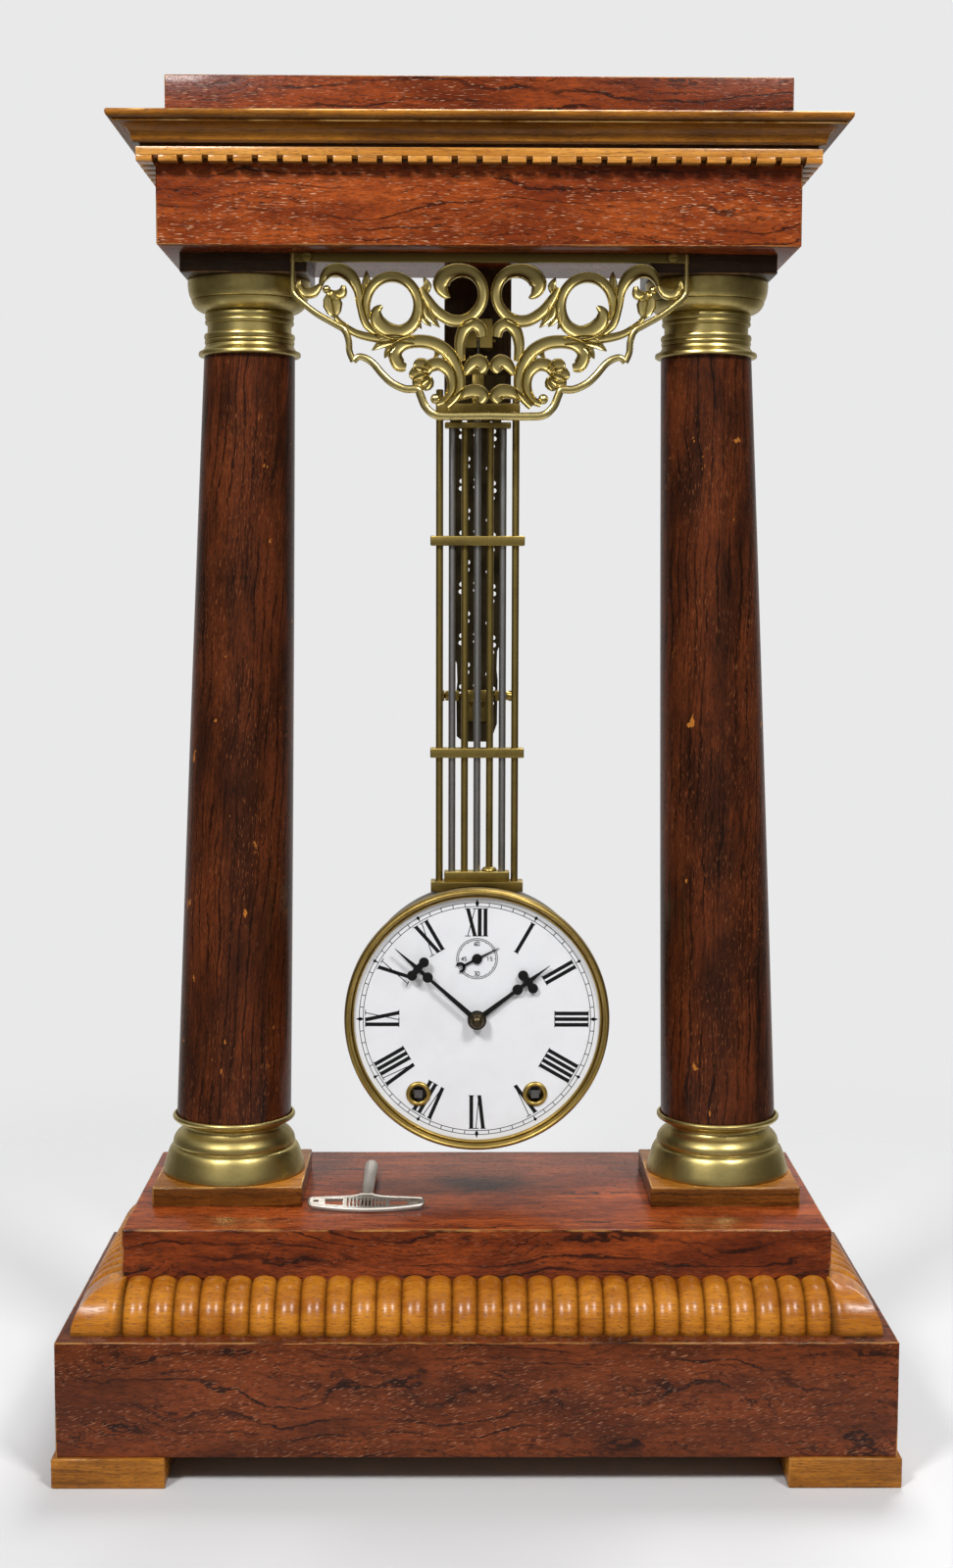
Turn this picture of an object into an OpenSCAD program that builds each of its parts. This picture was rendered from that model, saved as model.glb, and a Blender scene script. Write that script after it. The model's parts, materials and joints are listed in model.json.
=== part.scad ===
// Portico clock: a veneered base and two turned columns carry an entablature, and the whole movement
// swings below it as the bob of a gridiron pendulum.
// Millimetres, +Z up, the front faces -Y, the origin is the middle of the footprint on the floor.

/* [Base] */
// Width of the base box
base_w = 340; // [300:1:420]
// Depth of the base box
base_d = 149; // [130:1:200]
// Height of the base box
base_h = 47.5; // [36:0.5:80]
// Thickness of the case panels
panel_t = 10; // [6:0.5:14]
// Thickness of the board that closes the underside
floor_t = 4; // [3:0.5:8]
// Height of the feet
foot_h = 12.5; // [6:0.5:25]
// Width of a foot across the front
foot_w = 46; // [25:1:70]
// Depth of a foot from front to back
foot_d = 42; // [25:1:60]
// How far a foot stands proud of the box
foot_proud = 1.75; // [0:0.25:6]
// How far the step's sides stand in from the box's sides
step_inset = 23.5; // [22:0.5:45]
// Height of the upper step above the base box
step_h = 38.5; // [25:0.5:60]
// How far the step's front stands behind the box's front
step_setback = 26; // [22:0.5:40]
// Radius of the reeded quarter-round moulding
gadroon_r = 19.25; // [12:0.25:21]
// Width of one reed
reed_pitch = 10.3; // [6:0.1:16]
// How deep the valley between two reeds is
reed_depth = 2.4; // [1:0.1:4]

/* [Columns] */
// Distance between the column axes at the plinths
base_span = 213.3; // [190:0.5:225]
// Distance between the column axes at the capitals
top_span = 195; // [180:0.5:213]
// How far the column axes lie behind the middle of the base
column_y = 16.4; // [5:0.2:30]
// Side of a plinth block
plinth_w = 64; // [62:0.5:68]
// Thickness of a plinth block
plinth_h = 8.3; // [5:0.1:16]
// Height of the brass column base
column_base_h = 25.6; // [20:0.2:40]
// Radius of the column base at its foot
column_base_r = 31; // [29:0.2:32]
// Radius of the shaft at the bottom
shaft_r_low = 25.1; // [20:0.1:26]
// Radius of the shaft at the top
shaft_r_top = 19.4; // [16:0.1:20]
// Length of the shaft that shows
shaft_h = 327.8; // [240:0.5:420]
// Depth of the seats that take the ends of a shaft
shaft_seat = 2; // [1:0.5:3]
// Height of the brass capital
capital_h = 32; // [24:0.5:45]
// Radius of the capital at its widest
capital_r = 26; // [24:0.2:27]
// Side of an abacus block
abacus_w = 52.6; // [52:0.2:60]
// Thickness of an abacus block
abacus_h = 8.2; // [5:0.1:16]
// Radius of the tie rod in each column
tie_r = 3; // [2:0.25:4]
// Radius of the bore that the tie rod passes through
tie_bore_r = 9; // [8:0.5:11]

/* [Entablature] */
// Width of the frieze box
frieze_w = 261.5; // [250:0.5:300]
// Depth of the frieze box
frieze_d = 89; // [80:0.5:120]
// Height of the frieze box
frieze_h = 32.6; // [24:0.2:60]
// How far the dentils stand out from the frieze
dentil_out = 6.9; // [4:0.1:12]
// Height of the dentil course
dentil_h = 6.2; // [4:0.1:12]
// Distance from one dentil to the next
dentil_pitch = 10; // [6:0.1:16]
// Width of the gap between two dentils
dentil_gap = 2.5; // [1:0.1:5]
// Height of the gap between two dentils
dentil_cut = 2.8; // [1:0.1:4]
// How far the cornice stands out from the frieze
cornice_out = 17.5; // [15:0.5:30]
// Height of the cornice
cornice_h = 11.4; // [10:0.2:24]
// Height of the round nose of the cornice
nose_h = 4; // [2:0.2:5]
// How far the top block stands in from the frieze
top_in = 3.5; // [1:0.5:20]
// Height of the top block
top_h = 17.8; // [8:0.2:40]

/* [Fret] */
// Half width of the pierced fret
fret_half_w = 82.5; // [80:0.5:90]
// How far the fret hangs to the right of the middle
fret_shift = 4.5; // [0:0.5:6]
// Thickness of the fret's frame
fret_t = 2.6; // [2:0.1:4]
// Width of the fret's frame
fret_band = 3; // [2.4:0.1:4]
// Radius of a fret screw's head
screw_head_r = 2; // [1.5:0.1:3]

/* [Suspension] */
// How far the swing axis lies below the frieze
swing_drop = 32.4; // [28:0.1:40]
// Width of the suspension board
board_w = 29; // [24:0.5:40]
// Length of the suspension board below the frieze
board_h = 64; // [50:1:80]
// Thickness of the suspension board
board_t = 10; // [6:0.5:16]
// How far the board's face lies behind the pendulum rods
board_back = 13.6; // [12:0.2:20]
// Thickness of the suspension leaf
leaf_t = 0.4; // [0.2:0.1:0.8]
// Width of the suspension leaf
leaf_w = 8; // [5:0.5:12]
// Radius of the suspension pin
pin_r = 1; // [0.6:0.1:1.5]
// Width of the fixed impulse arm
arm_w = 24; // [18:0.5:28]
// Length of the impulse arm below the crutch pin
arm_tail = 13; // [9:0.5:20]
// Thickness of the impulse arm
arm_t = 1.5; // [1:0.1:2]
// Length of the crutch from the anchor to its pin
crutch_len = 82.75; // [75:0.25:100]
// Radius of the crutch wire
crutch_r = 1; // [0.7:0.1:1.4]

/* [Pendulum] */
// Distance between neighbouring rods
rod_pitch = 5.45; // [5:0.05:7]
// Radius of a gridiron rod
rod_r = 1.3; // [0.8:0.1:1.8]
// Thickness of the gridiron bars from front to back
bar_d = 7; // [5:0.5:9]
// How far the gridiron's top edge lies below the swing axis
grid_drop = 27; // [20:0.5:34]
// Half length of a spacer bar
spacer_half = 20.3; // [18:0.1:24]
// Height of a spacer bar
spacer_h = 4.2; // [3:0.1:6]
// How far the upper spacer bar lies below the gridiron's top edge
spacer_hi_drop = 60.5; // [30:0.5:90]
// How far the lower spacer bar lies above the yoke
spacer_lo_rise = 53.9; // [30:0.1:70]

/* [Drum and dial] */
// Free room between the bezel and the step
bob_gap = 24.6; // [10:0.1:40]
// How far the dial's face lies in front of the base's middle
dial_front = 13; // [10:0.5:16]
// Outer radius of the drum's front part
drum_r = 53.6; // [53.5:0.1:66]
// How far the drum's rear part stands in from its front part
drum_step = 4.4; // [3:0.1:6]
// Thickness of the drum's wall
drum_wall = 0.8; // [0.6:0.1:1]
// Depth of the drum behind the dial
drum_d = 59; // [56:0.5:70]
// How far the bezel stands out from the drum
bezel_out = 2.8; // [1.5:0.1:4]
// How far the bezel laps over the dial's edge
bezel_lap = 1.3; // [1:0.1:3]
// Thickness of the dial
dial_t = 1; // [0.6:0.1:1.2]
// Sideways place of the winding holes
wind_x = 24.9; // [24.5:0.1:25.3]
// Distance of the winding holes below the dial centre
wind_down = 32.4; // [32:0.1:32.8]
// Distance of the seconds arbor above the dial centre
seconds_up = 26; // [25.8:0.1:26.2]

/* [Movement] */
// Thickness of the movement plates
plate_t = 2; // [1.5:0.1:2.5]
// Room between the dial and the front plate
motion_gap = 7; // [6.6:0.1:9]
// Room between the two plates
train_gap = 24; // [24:0.5:28]
// Radius of a wheel arbor
arbor_r = 0.8; // [0.6:0.05:0.9]
// Radius of the centre arbor
centre_r = 1.2; // [1:0.05:1.3]
// Side of the winding squares
square_w = 3.4; // [3:0.1:3.5]
// Radius of a winding arbor in its barrel
wind_r = 2.5; // [2:0.1:2.7]
// Radius of a barrel
barrel_r = 10.2; // [9:0.1:10.4]
// Radius of the bell
bell_r = 24; // [20:0.5:28]
// Tooth module of the winding and strike wheels
module_wind = 0.5; // [0.48:0.01:0.51]
// Tooth module of the going train
module_train = 0.38; // [0.37:0.01:0.39]
// Tooth module of the wheels behind the dial
module_motion = 0.4; // [0.38:0.01:0.42]

/* [Hands and key] */
// Length of the minute hand
minute_len = 46.5; // [40:0.5:50]
// Length of the hour hand
hour_len = 38.8; // [30:0.2:42]
// Length of the seconds hand
seconds_len = 10.5; // [8:0.1:12]
// Thickness of a hand
hand_t = 0.7; // [0.4:0.1:0.8]
// Angle of the minute hand, clockwise from twelve
minute_angle = 311.5; // [0:0.5:360]
// Angle of the hour hand, clockwise from twelve
hour_angle = 53; // [0:0.5:360]
// Angle of the seconds hand, clockwise from twelve
seconds_angle = 63; // [0:0.5:360]
// Width of the key's wing
key_w = 50; // [40:0.5:54]
// Length of the key from wing to mouth
key_len = 63.5; // [40:0.5:70]
// Radius of the key's tube at its mouth
key_tube_r = 3.1; // [2.8:0.1:3.2]

/* [Clearances] */
// Radial clearance of a running shaft
run_fit = 0.05; // [0.02:0.01:0.1]
// Gap round a piece that is seated in another
seat_fit = 0.05; // [0.02:0.01:0.3]
// Gap round a rod that passes through a wooden piece
pass_gap = 0.4; // [0.2:0.1:1]
// Free room between pieces that move past each other
free_gap = 0.4; // [0.3:0.05:0.6]

/* [Hidden] */
$fn = 64;

// Heights of the case, from the floor up
step_w = base_w - 2 * step_inset;
base_top = foot_h + base_h;
step_top = base_top + step_h;
plinth_top = step_top + plinth_h;
ring_top = plinth_top + column_base_h;
capital_z = ring_top + shaft_h;
capital_top = capital_z + capital_h;
soffit_z = capital_top + abacus_h;
frieze_top = soffit_z + frieze_h;
dentil_top = frieze_top + dentil_h;
cornice_top = dentil_top + cornice_h;

// Depths of the case, from front to back
base_front = -base_d / 2;
base_rear = base_d / 2;
step_front = base_front + step_setback;
frieze_front = column_y - frieze_d / 2;
frieze_rear = column_y + frieze_d / 2;
abacus_front = column_y - abacus_w / 2;
pend_y = column_y;
board_y = pend_y + board_back;
tie_x = (base_span + top_span) / 4;
lean = atan((base_span - top_span) / 2 / (capital_z - ring_top));

// Depths of the movement, counted backwards from the dial's face
dial_y = -dial_front;
plate_front_y = dial_y + dial_t + motion_gap;
train_y = plate_front_y + plate_t;
plate_back_y = train_y + train_gap;
plate_rear_y = plate_back_y + plate_t;
drum_rear_y = dial_y + dial_t + drum_d;
drum_in_r = drum_r - drum_wall;
rear_r = drum_r - drum_step;
rear_in_r = rear_r - drum_wall;
bezel_r = drum_r + bezel_out;
dial_open_r = drum_r - bezel_lap;

// Heights of the pendulum
swing_z = soffit_z - swing_drop;
grid_top_z = swing_z - grid_drop;
dial_z = step_top + bob_gap + bezel_r;

// Tooth counts
z_barrel = 44;
z_pinion = 10;
z_mid = 46;
z_centre = 64;
z_leaf = 8;
z_third = 60;
z_seconds = 60;
z_escape_pinion = 16;
z_escape = 15;
z_cannon = 12;
z_minute = 36;
z_minute_pinion = 10;
z_hour = 40;
z_ratchet = 16;

// Centre distances
d_barrel = module_wind * (z_barrel + z_pinion) / 2;
d_mid = module_wind * (z_mid + z_pinion) / 2;
d_third = module_train * (z_centre + z_leaf) / 2;
d_seconds = module_train * (z_third + z_leaf) / 2;
d_escape = module_train * (z_seconds + z_escape_pinion) / 2;
d_motion = module_motion * (z_cannon + z_minute) / 2;
module_hour = 2 * d_motion / (z_minute_pinion + z_hour);

// Where two circles cross, on the left going from a to b for side = 1
function cross(a, ra, b, rb, side) =
  let (v = b - a, d = norm(v), along = (ra * ra - rb * rb + d * d) / (2 * d))
  let (across = sqrt(ra * ra - along * along), u = v / d)
  a + along * u + side * across * [-u[1], u[0]];
function polar(r, a) = r * [cos(a), sin(a)];
function heading(a, b) = atan2(b[1] - a[1], b[0] - a[0]);

// Arbor places in the plane of the dial, from the dial centre
p_centre = [0, 0];
p_going = [wind_x, -wind_down];
p_strike = [-wind_x, -wind_down];
p_mid = polar(d_mid, -46);
p_second = cross(p_going, d_barrel, p_mid, d_mid, 1);
p_seconds = [0, seconds_up];
p_third = cross(p_centre, d_third, p_seconds, d_seconds, -1);
p_escape = p_seconds + polar(d_escape, 130);
escape_r = 9;
p_anchor = p_seconds + [0, 19.75];
p_pin = p_strike + polar(d_barrel, 115);
p_fly = p_pin + polar(d_mid, 80);
p_hammer = [-14, -14];
p_minute = polar(d_motion, 200);
anchor_z = dial_z + p_anchor[1];
crutch_z = anchor_z + crutch_len;
arm_z = crutch_z - arm_tail;
// How far the anchor rocks each way while the pendulum swings three degrees each way
anchor_rock = 5.8;

// Angle of a tooth on the driven wheel so that its gap takes the driving wheel's tooth
function meshed(pa, za, ta, pb, zb) =
  let (a = heading(pa, pb)) a + 180 + 180 / zb - (ta - a) * za / zb;
t_centre = 0;
t_third = meshed(p_centre, z_centre, t_centre, p_third, z_leaf);
t_seconds = meshed(p_third, z_third, t_third, p_seconds, z_leaf);
t_escape = meshed(p_seconds, z_seconds, t_seconds, p_escape, z_escape_pinion);
t_mid = meshed(p_centre, z_pinion, t_centre, p_mid, z_mid);
t_second = meshed(p_mid, z_pinion, t_mid, p_second, z_mid);
t_going = meshed(p_second, z_pinion, t_second, p_going, z_barrel);
t_strike = 0;
t_pin = meshed(p_strike, z_barrel, t_strike, p_pin, z_pinion);
t_fly = meshed(p_pin, z_mid, t_pin, p_fly, z_pinion);
t_cannon = 0;
t_minute = meshed(p_centre, z_cannon, t_cannon, p_minute, z_minute);
t_hour = meshed(p_minute, z_minute_pinion, t_minute, p_centre, z_hour);

// Depths of the wheels behind the front plate
s_great = 17.5;
t_great = 2;
s_second_wheel = 21.2;
s_mid_wheel = 4;
s_centre_wheel = 8;
s_third_wheel = 12;
s_seconds_wheel = 16;
s_escape_wheel = 20;
wheel_t = 1.2;
leaf_over = 0.8;

// One tooth of a wheel: radial flanks below the pitch line and a rounded ogive above it
function wheel_points(z, m, tilt) = [
  for (i = [0:z - 1], k = [-1, 1])
  let (half = 0.78 * m / (z * m / 2) * 180 / PI, c = tilt + i * 360 / z)
  let (radii = [z * m / 2 - 1.3 * m, z * m / 2, z * m / 2 + 0.55 * m, z * m / 2 + 0.95 * m])
  let (share = [1, 1, 0.72, 0.3], order = k < 0 ? [0, 1, 2, 3] : [3, 2, 1, 0])
  for (j = order) polar(radii[j], c + k * half * share[j])
];
// One leaf of a pinion: radial flanks and a short round top
function pinion_points(z, m, tilt) = [
  for (i = [0:z - 1], k = [-1, 1])
  let (half = 0.56 * m / (z * m / 2) * 180 / PI, c = tilt + i * 360 / z)
  let (radii = [z * m / 2 - 1.45 * m, z * m / 2, z * m / 2 + 0.4 * m])
  let (share = [1, 1, 0.45], order = k < 0 ? [0, 1, 2] : [2, 1, 0])
  for (j = order) polar(radii[j], c + k * half * share[j])
];

// Smooth open curve through a few points, with n steps between neighbours
function smooth(p, n) = [
  for (i = [0:len(p) - 2], k = [0:n - 1])
  let (a = p[max(i - 1, 0)], b = p[i], c = p[i + 1], d = p[min(i + 2, len(p) - 1)], t = k / n)
  0.5 * (2 * b + (c - a) * t + (2 * a - 5 * b + 4 * c - d) * t * t + (3 * b - a - 3 * c + d) * t * t * t),
  p[len(p) - 1]
];
// Outline of a band of the given width along a curve
function side_of(p, i) =
  let (v = p[min(i + 1, len(p) - 1)] - p[max(i - 1, 0)]) [-v[1], v[0]] / norm(v);
function band(p, w) = concat(
  [for (i = [0:len(p) - 1]) p[i] + side_of(p, i) * w / 2],
  [for (i = [len(p) - 1:-1:0]) p[i] - side_of(p, i) * w / 2]
);

// Places a flat shape of thickness h in the movement, s behind the front plate
module in_train(p, s, h) {
  translate([p[0], train_y + s + h, dial_z + p[1]]) rotate([90, 0, 0]) linear_extrude(h) children();
}
// The same, with v counted forwards from the dial's face
module before_dial(p, v, h) {
  translate([p[0], dial_y - v, dial_z + p[1]]) rotate([90, 0, 0]) linear_extrude(h) children();
}
// A round bar along Y from depth y0 to depth y1
module bar_y(p, r, y0, y1) {
  translate([p[0], y1, dial_z + p[1]]) rotate([90, 0, 0]) cylinder(h = y1 - y0, r = r);
}
// A ring along Y, revolved from an outline of [radius, depth] points
module turned_y(p, outline) {
  translate([p[0], 0, dial_z + p[1]]) rotate([-90, 0, 0]) rotate_extrude() polygon(outline);
}
module spoked(r_rim, r_hub, arms) {
  circle(r = r_hub);
  for (i = [0:arms - 1]) rotate(i * 360 / arms) translate([0, -0.9]) square([r_rim, 1.8]);
}
// A crossed-out wheel with teeth, rim, arms and hub
module wheel(z, m, tilt, r_hub, r_hole) {
  r_in = z * m / 2 - 1.3 * m - 1.3;
  difference() {
    union() {
      difference() {
        polygon(wheel_points(z, m, tilt));
        circle(r = r_in);
      }
      spoked(r_in + 0.6, r_hub, 4);
    }
    circle(r = r_hole);
  }
}
module box(x0, x1, y0, y1, z0, z1) {
  translate([x0, y0, z0]) cube([x1 - x0, y1 - y0, z1 - z0]);
}
module tie_holes(r, z0, z1) {
  for (s = [-1, 1]) translate([s * tie_x, column_y, z0]) cylinder(h = z1 - z0, r = r);
}

module feet() {
  x0 = base_w / 2 + foot_proud - foot_w;
  y0 = base_d / 2 + foot_proud - foot_d;
  color("#a5682c")
  for (x = [-1, 1], y = [-1, 1]) scale([x, y, 1]) box(x0, x0 + foot_w, y0, y0 + foot_d, 0, foot_h);
}

module base_carcass() {
  color("#7a3219")
  difference() {
    box(-base_w / 2, base_w / 2, base_front, base_rear, foot_h, base_top);
    box(-base_w / 2 + panel_t, base_w / 2 - panel_t, base_front + panel_t, base_rear - panel_t,
        foot_h - 1, base_top - panel_t);
    tie_holes(tie_r + pass_gap, base_top - panel_t - 1, base_top + 1);
  }
}

// Board let into the underside of the box
module base_floor() {
  x1 = base_w / 2 - panel_t - seat_fit;
  y1 = base_d / 2 - panel_t - seat_fit;
  color("#8a6a48") box(-x1, x1, -y1, y1, foot_h, foot_h + floor_t);
}

// Scalloped outline of n reeds in a row, to be turned through a quarter about the inner edge
function reed_outline(n) =
  let (len = n * reed_pitch, steps = 8)
  concat([[0, -len / 2]], [
    for (i = [0:n * steps])
    let (u = (i % steps) / steps * 2 - 1)
    [gadroon_r - reed_depth * (1 - sqrt(max(0, 1 - 0.98 * u * u))), -len / 2 + i * reed_pitch / steps]
  ], [[0, len / 2]]);
module reed_row(n) {
  rotate([0, 90, 0]) rotate([0, 0, 180]) rotate_extrude(angle = 90) polygon(reed_outline(n));
}
module gadroon_moulding() {
  front_n = floor((step_w - 4) / reed_pitch);
  front_len = front_n * reed_pitch;
  side_len = base_rear - step_front;
  side_n = floor((side_len - 2) / reed_pitch);
  corner_r = gadroon_r - 0.4;
  color("#b0702f") {
    translate([0, step_front, base_top]) reed_row(front_n);
    for (s = [-1, 1]) {
      translate([s * step_w / 2, base_rear - side_n * reed_pitch / 2, base_top])
        rotate([0, 0, s * 90]) reed_row(side_n);
      // Plain mitred leaf at the corner
      difference() {
        intersection() {
          translate([-base_w / 2, step_front, base_top]) rotate([0, 90, 0])
            cylinder(h = base_w, r = corner_r);
          translate([s * step_w / 2, base_rear, base_top]) rotate([90, 0, 0])
            cylinder(h = base_d, r = corner_r);
          box(min(s * front_len / 2, s * base_w / 2), max(s * front_len / 2, s * base_w / 2),
              base_front, base_rear - side_n * reed_pitch, base_top, base_top + gadroon_r);
        }
        box(-step_w / 2, step_w / 2, step_front, base_rear, base_top - 1, step_top);
      }
    }
  }
}

module upper_step() {
  color("#9c3f1f")
  difference() {
    box(-step_w / 2, step_w / 2, step_front, base_rear, base_top, step_top);
    box(-step_w / 2 + panel_t, step_w / 2 - panel_t, step_front + panel_t, base_rear - panel_t,
        base_top - 1, step_top - panel_t);
    tie_holes(tie_r + pass_gap, step_top - panel_t - 1, step_top + 1);
  }
}

module column_plinths() {
  color("#a35a24")
  difference() {
    for (s = [-1, 1])
      translate([s * base_span / 2 - plinth_w / 2, column_y - plinth_w / 2, step_top])
        cube([plinth_w, plinth_w, plinth_h]);
    tie_holes(tie_r + pass_gap, step_top - 1, plinth_top + 1);
  }
}

// Turned outline of a column base, from the foot up, with the seat for the shaft inside
function base_outline() =
  let (h = column_base_h, r = column_base_r, w = shaft_r_low)
  concat(
    [[tie_bore_r, 0], [r, 0], [r, 1], [r - 0.9, 4], [r - 2.6, 9.6], [r - 3.8, 10.2], [r - 3.5, 11.4]],
    [for (a = [0:18:90]) [r - 8.2 + 4.6 * cos(a), 12.6 + 5.4 * sin(a)]],
    [[r - 8.4, 18.8], [w - 0.8, 20.6], [w + 1.2, h - 4]],
    [for (a = [-45:22.5:90]) [w + 0.55 + 1.5 * cos(a), h - 1.9 + 1.9 * sin(a)]],
    [[w + pass_gap, h], [w + pass_gap, h - shaft_seat], [tie_bore_r, h - shaft_seat]]
  );
module column_base(s) {
  color("#a8873f")
  translate([s * base_span / 2, column_y, plinth_top]) rotate_extrude() polygon(base_outline());
}
module column_base_left() {
  column_base(-1);
}
module column_base_right() {
  column_base(1);
}

// A tapered shaft that leans inwards, with level ends in the seats of its base and capital
module column_shaft(s) {
  z0 = ring_top - shaft_seat;
  z1 = capital_z + shaft_seat;
  color("#4a2015")
  intersection() {
    translate([s * base_span / 2, column_y, ring_top]) rotate([0, -s * lean, 0]) difference() {
      translate([0, 0, -10]) cylinder(h = shaft_h + 20, r1 = shaft_r_low, r2 = shaft_r_top);
      translate([0, 0, -11]) cylinder(h = shaft_h + 22, r = tie_bore_r);
    }
    box(s * tie_x - 2 * shaft_r_low, s * tie_x + 2 * shaft_r_low,
        column_y - 2 * shaft_r_low, column_y + 2 * shaft_r_low, z0, z1);
  }
}
module column_shaft_left() {
  column_shaft(-1);
}
module column_shaft_right() {
  column_shaft(1);
}

// Turned outline of a capital, from its lower flange up to the bell's rim
function capital_outline() =
  let (h = capital_h, r = capital_r, n = shaft_r_top)
  concat(
    [[tie_bore_r, shaft_seat], [n + pass_gap, shaft_seat], [n + pass_gap, 0], [n + 1.8, 0]],
    [[n + 2.2, 0.6], [n + 1.8, 1.4], [n - 0.2, 2.6], [n - 0.9, 4.8], [n - 0.7, 5.6], [n - 1, 6.6]],
    [[n - 1.4, 7], [n - 1, 8.2], [n - 1.4, 9.4], [n - 1.9, 10.4], [n - 1.9, 12.4], [n - 0.9, 13.2]],
    [[n - 0.7, 14.6], [n - 1.2, 15.4], [n - 0.5, 16], [n - 0.3, 17.4], [n + 0.4, 18]],
    [for (a = [-70:14:0]) [r - 7 + 7 * cos(a) - 0.6, h - 2 + 12.4 * sin(a)]],
    [[r, h - 1.4], [r, h], [tie_bore_r, h]]
  );
module column_capital(s) {
  color("#a8873f")
  translate([s * top_span / 2, column_y, capital_z]) rotate_extrude() polygon(capital_outline());
}
module column_capital_left() {
  column_capital(-1);
}
module column_capital_right() {
  column_capital(1);
}

module abacus_blocks() {
  color("#2a1710")
  difference() {
    for (s = [-1, 1])
      translate([s * top_span / 2 - abacus_w / 2, abacus_front, capital_top])
        cube([abacus_w, abacus_w, abacus_h]);
    tie_holes(tie_r + pass_gap, capital_top - 1, soffit_z + 1);
    fret_screw_holes();
  }
}

// A threaded rod in each column, with a nut and washer under the base top and in the frieze box
module tie_rods() {
  nut_h = 5;
  low = base_top - panel_t;
  high = soffit_z + panel_t;
  color("#8c8c88")
  for (s = [-1, 1]) translate([s * tie_x, column_y, 0]) {
    translate([0, 0, low - nut_h - 3]) cylinder(h = high - low + 2 * nut_h + 6, r = tie_r);
    translate([0, 0, low - nut_h]) cylinder(h = nut_h, r = 2 * tie_r, $fn = 6);
    translate([0, 0, high]) cylinder(h = nut_h, r = 2 * tie_r, $fn = 6);
  }
}

module frieze_carcass() {
  color("#a2401c")
  difference() {
    box(-frieze_w / 2, frieze_w / 2, frieze_front, frieze_rear, soffit_z, frieze_top);
    box(-frieze_w / 2 + panel_t, frieze_w / 2 - panel_t, frieze_front + panel_t, frieze_rear - panel_t,
        soffit_z + panel_t, frieze_top + 1);
    tie_holes(tie_r + pass_gap, soffit_z - 1, soffit_z + panel_t + 1);
  }
}

module dentil_course() {
  hw = frieze_w / 2 + dentil_out;
  front = frieze_front - dentil_out;
  n_front = floor((2 * hw - dentil_pitch) / dentil_pitch);
  n_side = floor((frieze_rear - front - dentil_pitch / 2) / dentil_pitch);
  color("#a8692c")
  difference() {
    box(-hw, hw, front, frieze_rear, frieze_top, dentil_top);
    for (i = [0:n_front]) {
      x = (i - n_front / 2) * dentil_pitch;
      box(x - dentil_gap / 2, x + dentil_gap / 2, front - 1, frieze_front,
          frieze_top - 1, frieze_top + dentil_cut);
    }
    for (i = [1:n_side], s = [-1, 1]) {
      y = front + i * dentil_pitch;
      translate([s * (hw - dentil_out / 2 + 0.5), y, frieze_top + dentil_cut / 2 - 0.5])
        cube([dentil_out + 1, dentil_gap, dentil_cut + 1], center = true);
    }
  }
}

// Outline of one side of the cornice: fillet, cove, round nose; x is how far it stands out
function cornice_edge() =
  let (x0 = dentil_out + 1, z1 = cornice_h - nose_h - 1.2, run = cornice_out - 2 - x0)
  concat(
    [[x0, 0], [x0, 0.8]],
    [for (a = [10:16:90]) [x0 + run * (1 - cos(a)), 0.8 + (z1 - 0.8) * sin(a)]],
    [[cornice_out - 2, z1 + 1.2]],
    [for (a = [-90:22.5:90]) [cornice_out - 2 + 2 * cos(a), cornice_h - nose_h / 2 + nose_h / 2 * sin(a)]]
  );
module cornice() {
  e = cornice_edge();
  hw = frieze_w / 2;
  long = frieze_w + 100;
  across = concat([for (p = e) [hw + p[0], p[1]]], [for (i = [len(e) - 1:-1:0]) [-hw - e[i][0], e[i][1]]]);
  deep = concat([for (p = e) [frieze_front - p[0], p[1]]], [[frieze_rear, cornice_h], [frieze_rear, 0]]);
  color("#a8692c")
  translate([0, 0, dentil_top]) intersection() {
    translate([0, long / 2, 0]) rotate([90, 0, 0]) linear_extrude(long) polygon(across);
    translate([-long / 2, 0, 0]) rotate([90, 0, 90]) linear_extrude(long) polygon(deep);
  }
}

module top_block() {
  hw = frieze_w / 2 - top_in;
  color("#8f3a1c")
  difference() {
    box(-hw, hw, frieze_front + top_in, frieze_rear, cornice_top, cornice_top + top_h);
    box(-hw + panel_t, hw - panel_t, frieze_front + top_in + panel_t, frieze_rear - panel_t,
        cornice_top - 1, cornice_top + top_h - panel_t);
  }
}

// Fret curves for the right half, from the middle of its top edge: [right, down]
fret_low = 67.3;
fret_edge = [
  [fret_half_w - 1.5, 1], [fret_half_w - 1.5, 18], [fret_half_w - 4, 23], [fret_half_w - 11, 27.5],
  [62.5, 32], [59.4, 36.5], [58.8, 43], [56, 44.6], [52, 44], [47.5, 47], [41.5, 54], [36, 57],
  [30.3, 57.2], [27.5, 62], [22, fret_low], [0, fret_low]
];
fret_ring = [
  [38, 35.4], [48.2, 32.9], [52.2, 26.3], [52.5, 19.2], [49.2, 13.1], [43.1, 9.9], [38, 9.3],
  [32.5, 11.6], [29.2, 17.2], [29.5, 22.7], [33, 28.3], [38, 30.8], [43.1, 30.3], [46.6, 26.8], [46, 23]
];
fret_heart = [
  [18.5, 16.2], [23, 13.2], [20.9, 8.1], [15.5, 5.2], [9.6, 5.4], [4.5, 9.3], [2.4, 15.3],
  [3.9, 21.8], [7.8, 25.7], [13.7, 27.2], [20, 25], [28, 19]
];
fret_arch = [
  [68.6, 16.4], [68.4, 10.6], [66.1, 7.1], [62.3, 5.4], [58.3, 7.4], [55.2, 11.6], [53.6, 18]
];
fret_curl = [[80.2, 14], [78.6, 17], [75, 17.6], [71.5, 16], [68.6, 15.4], [64.5, 17.4], [61, 16]];
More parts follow.
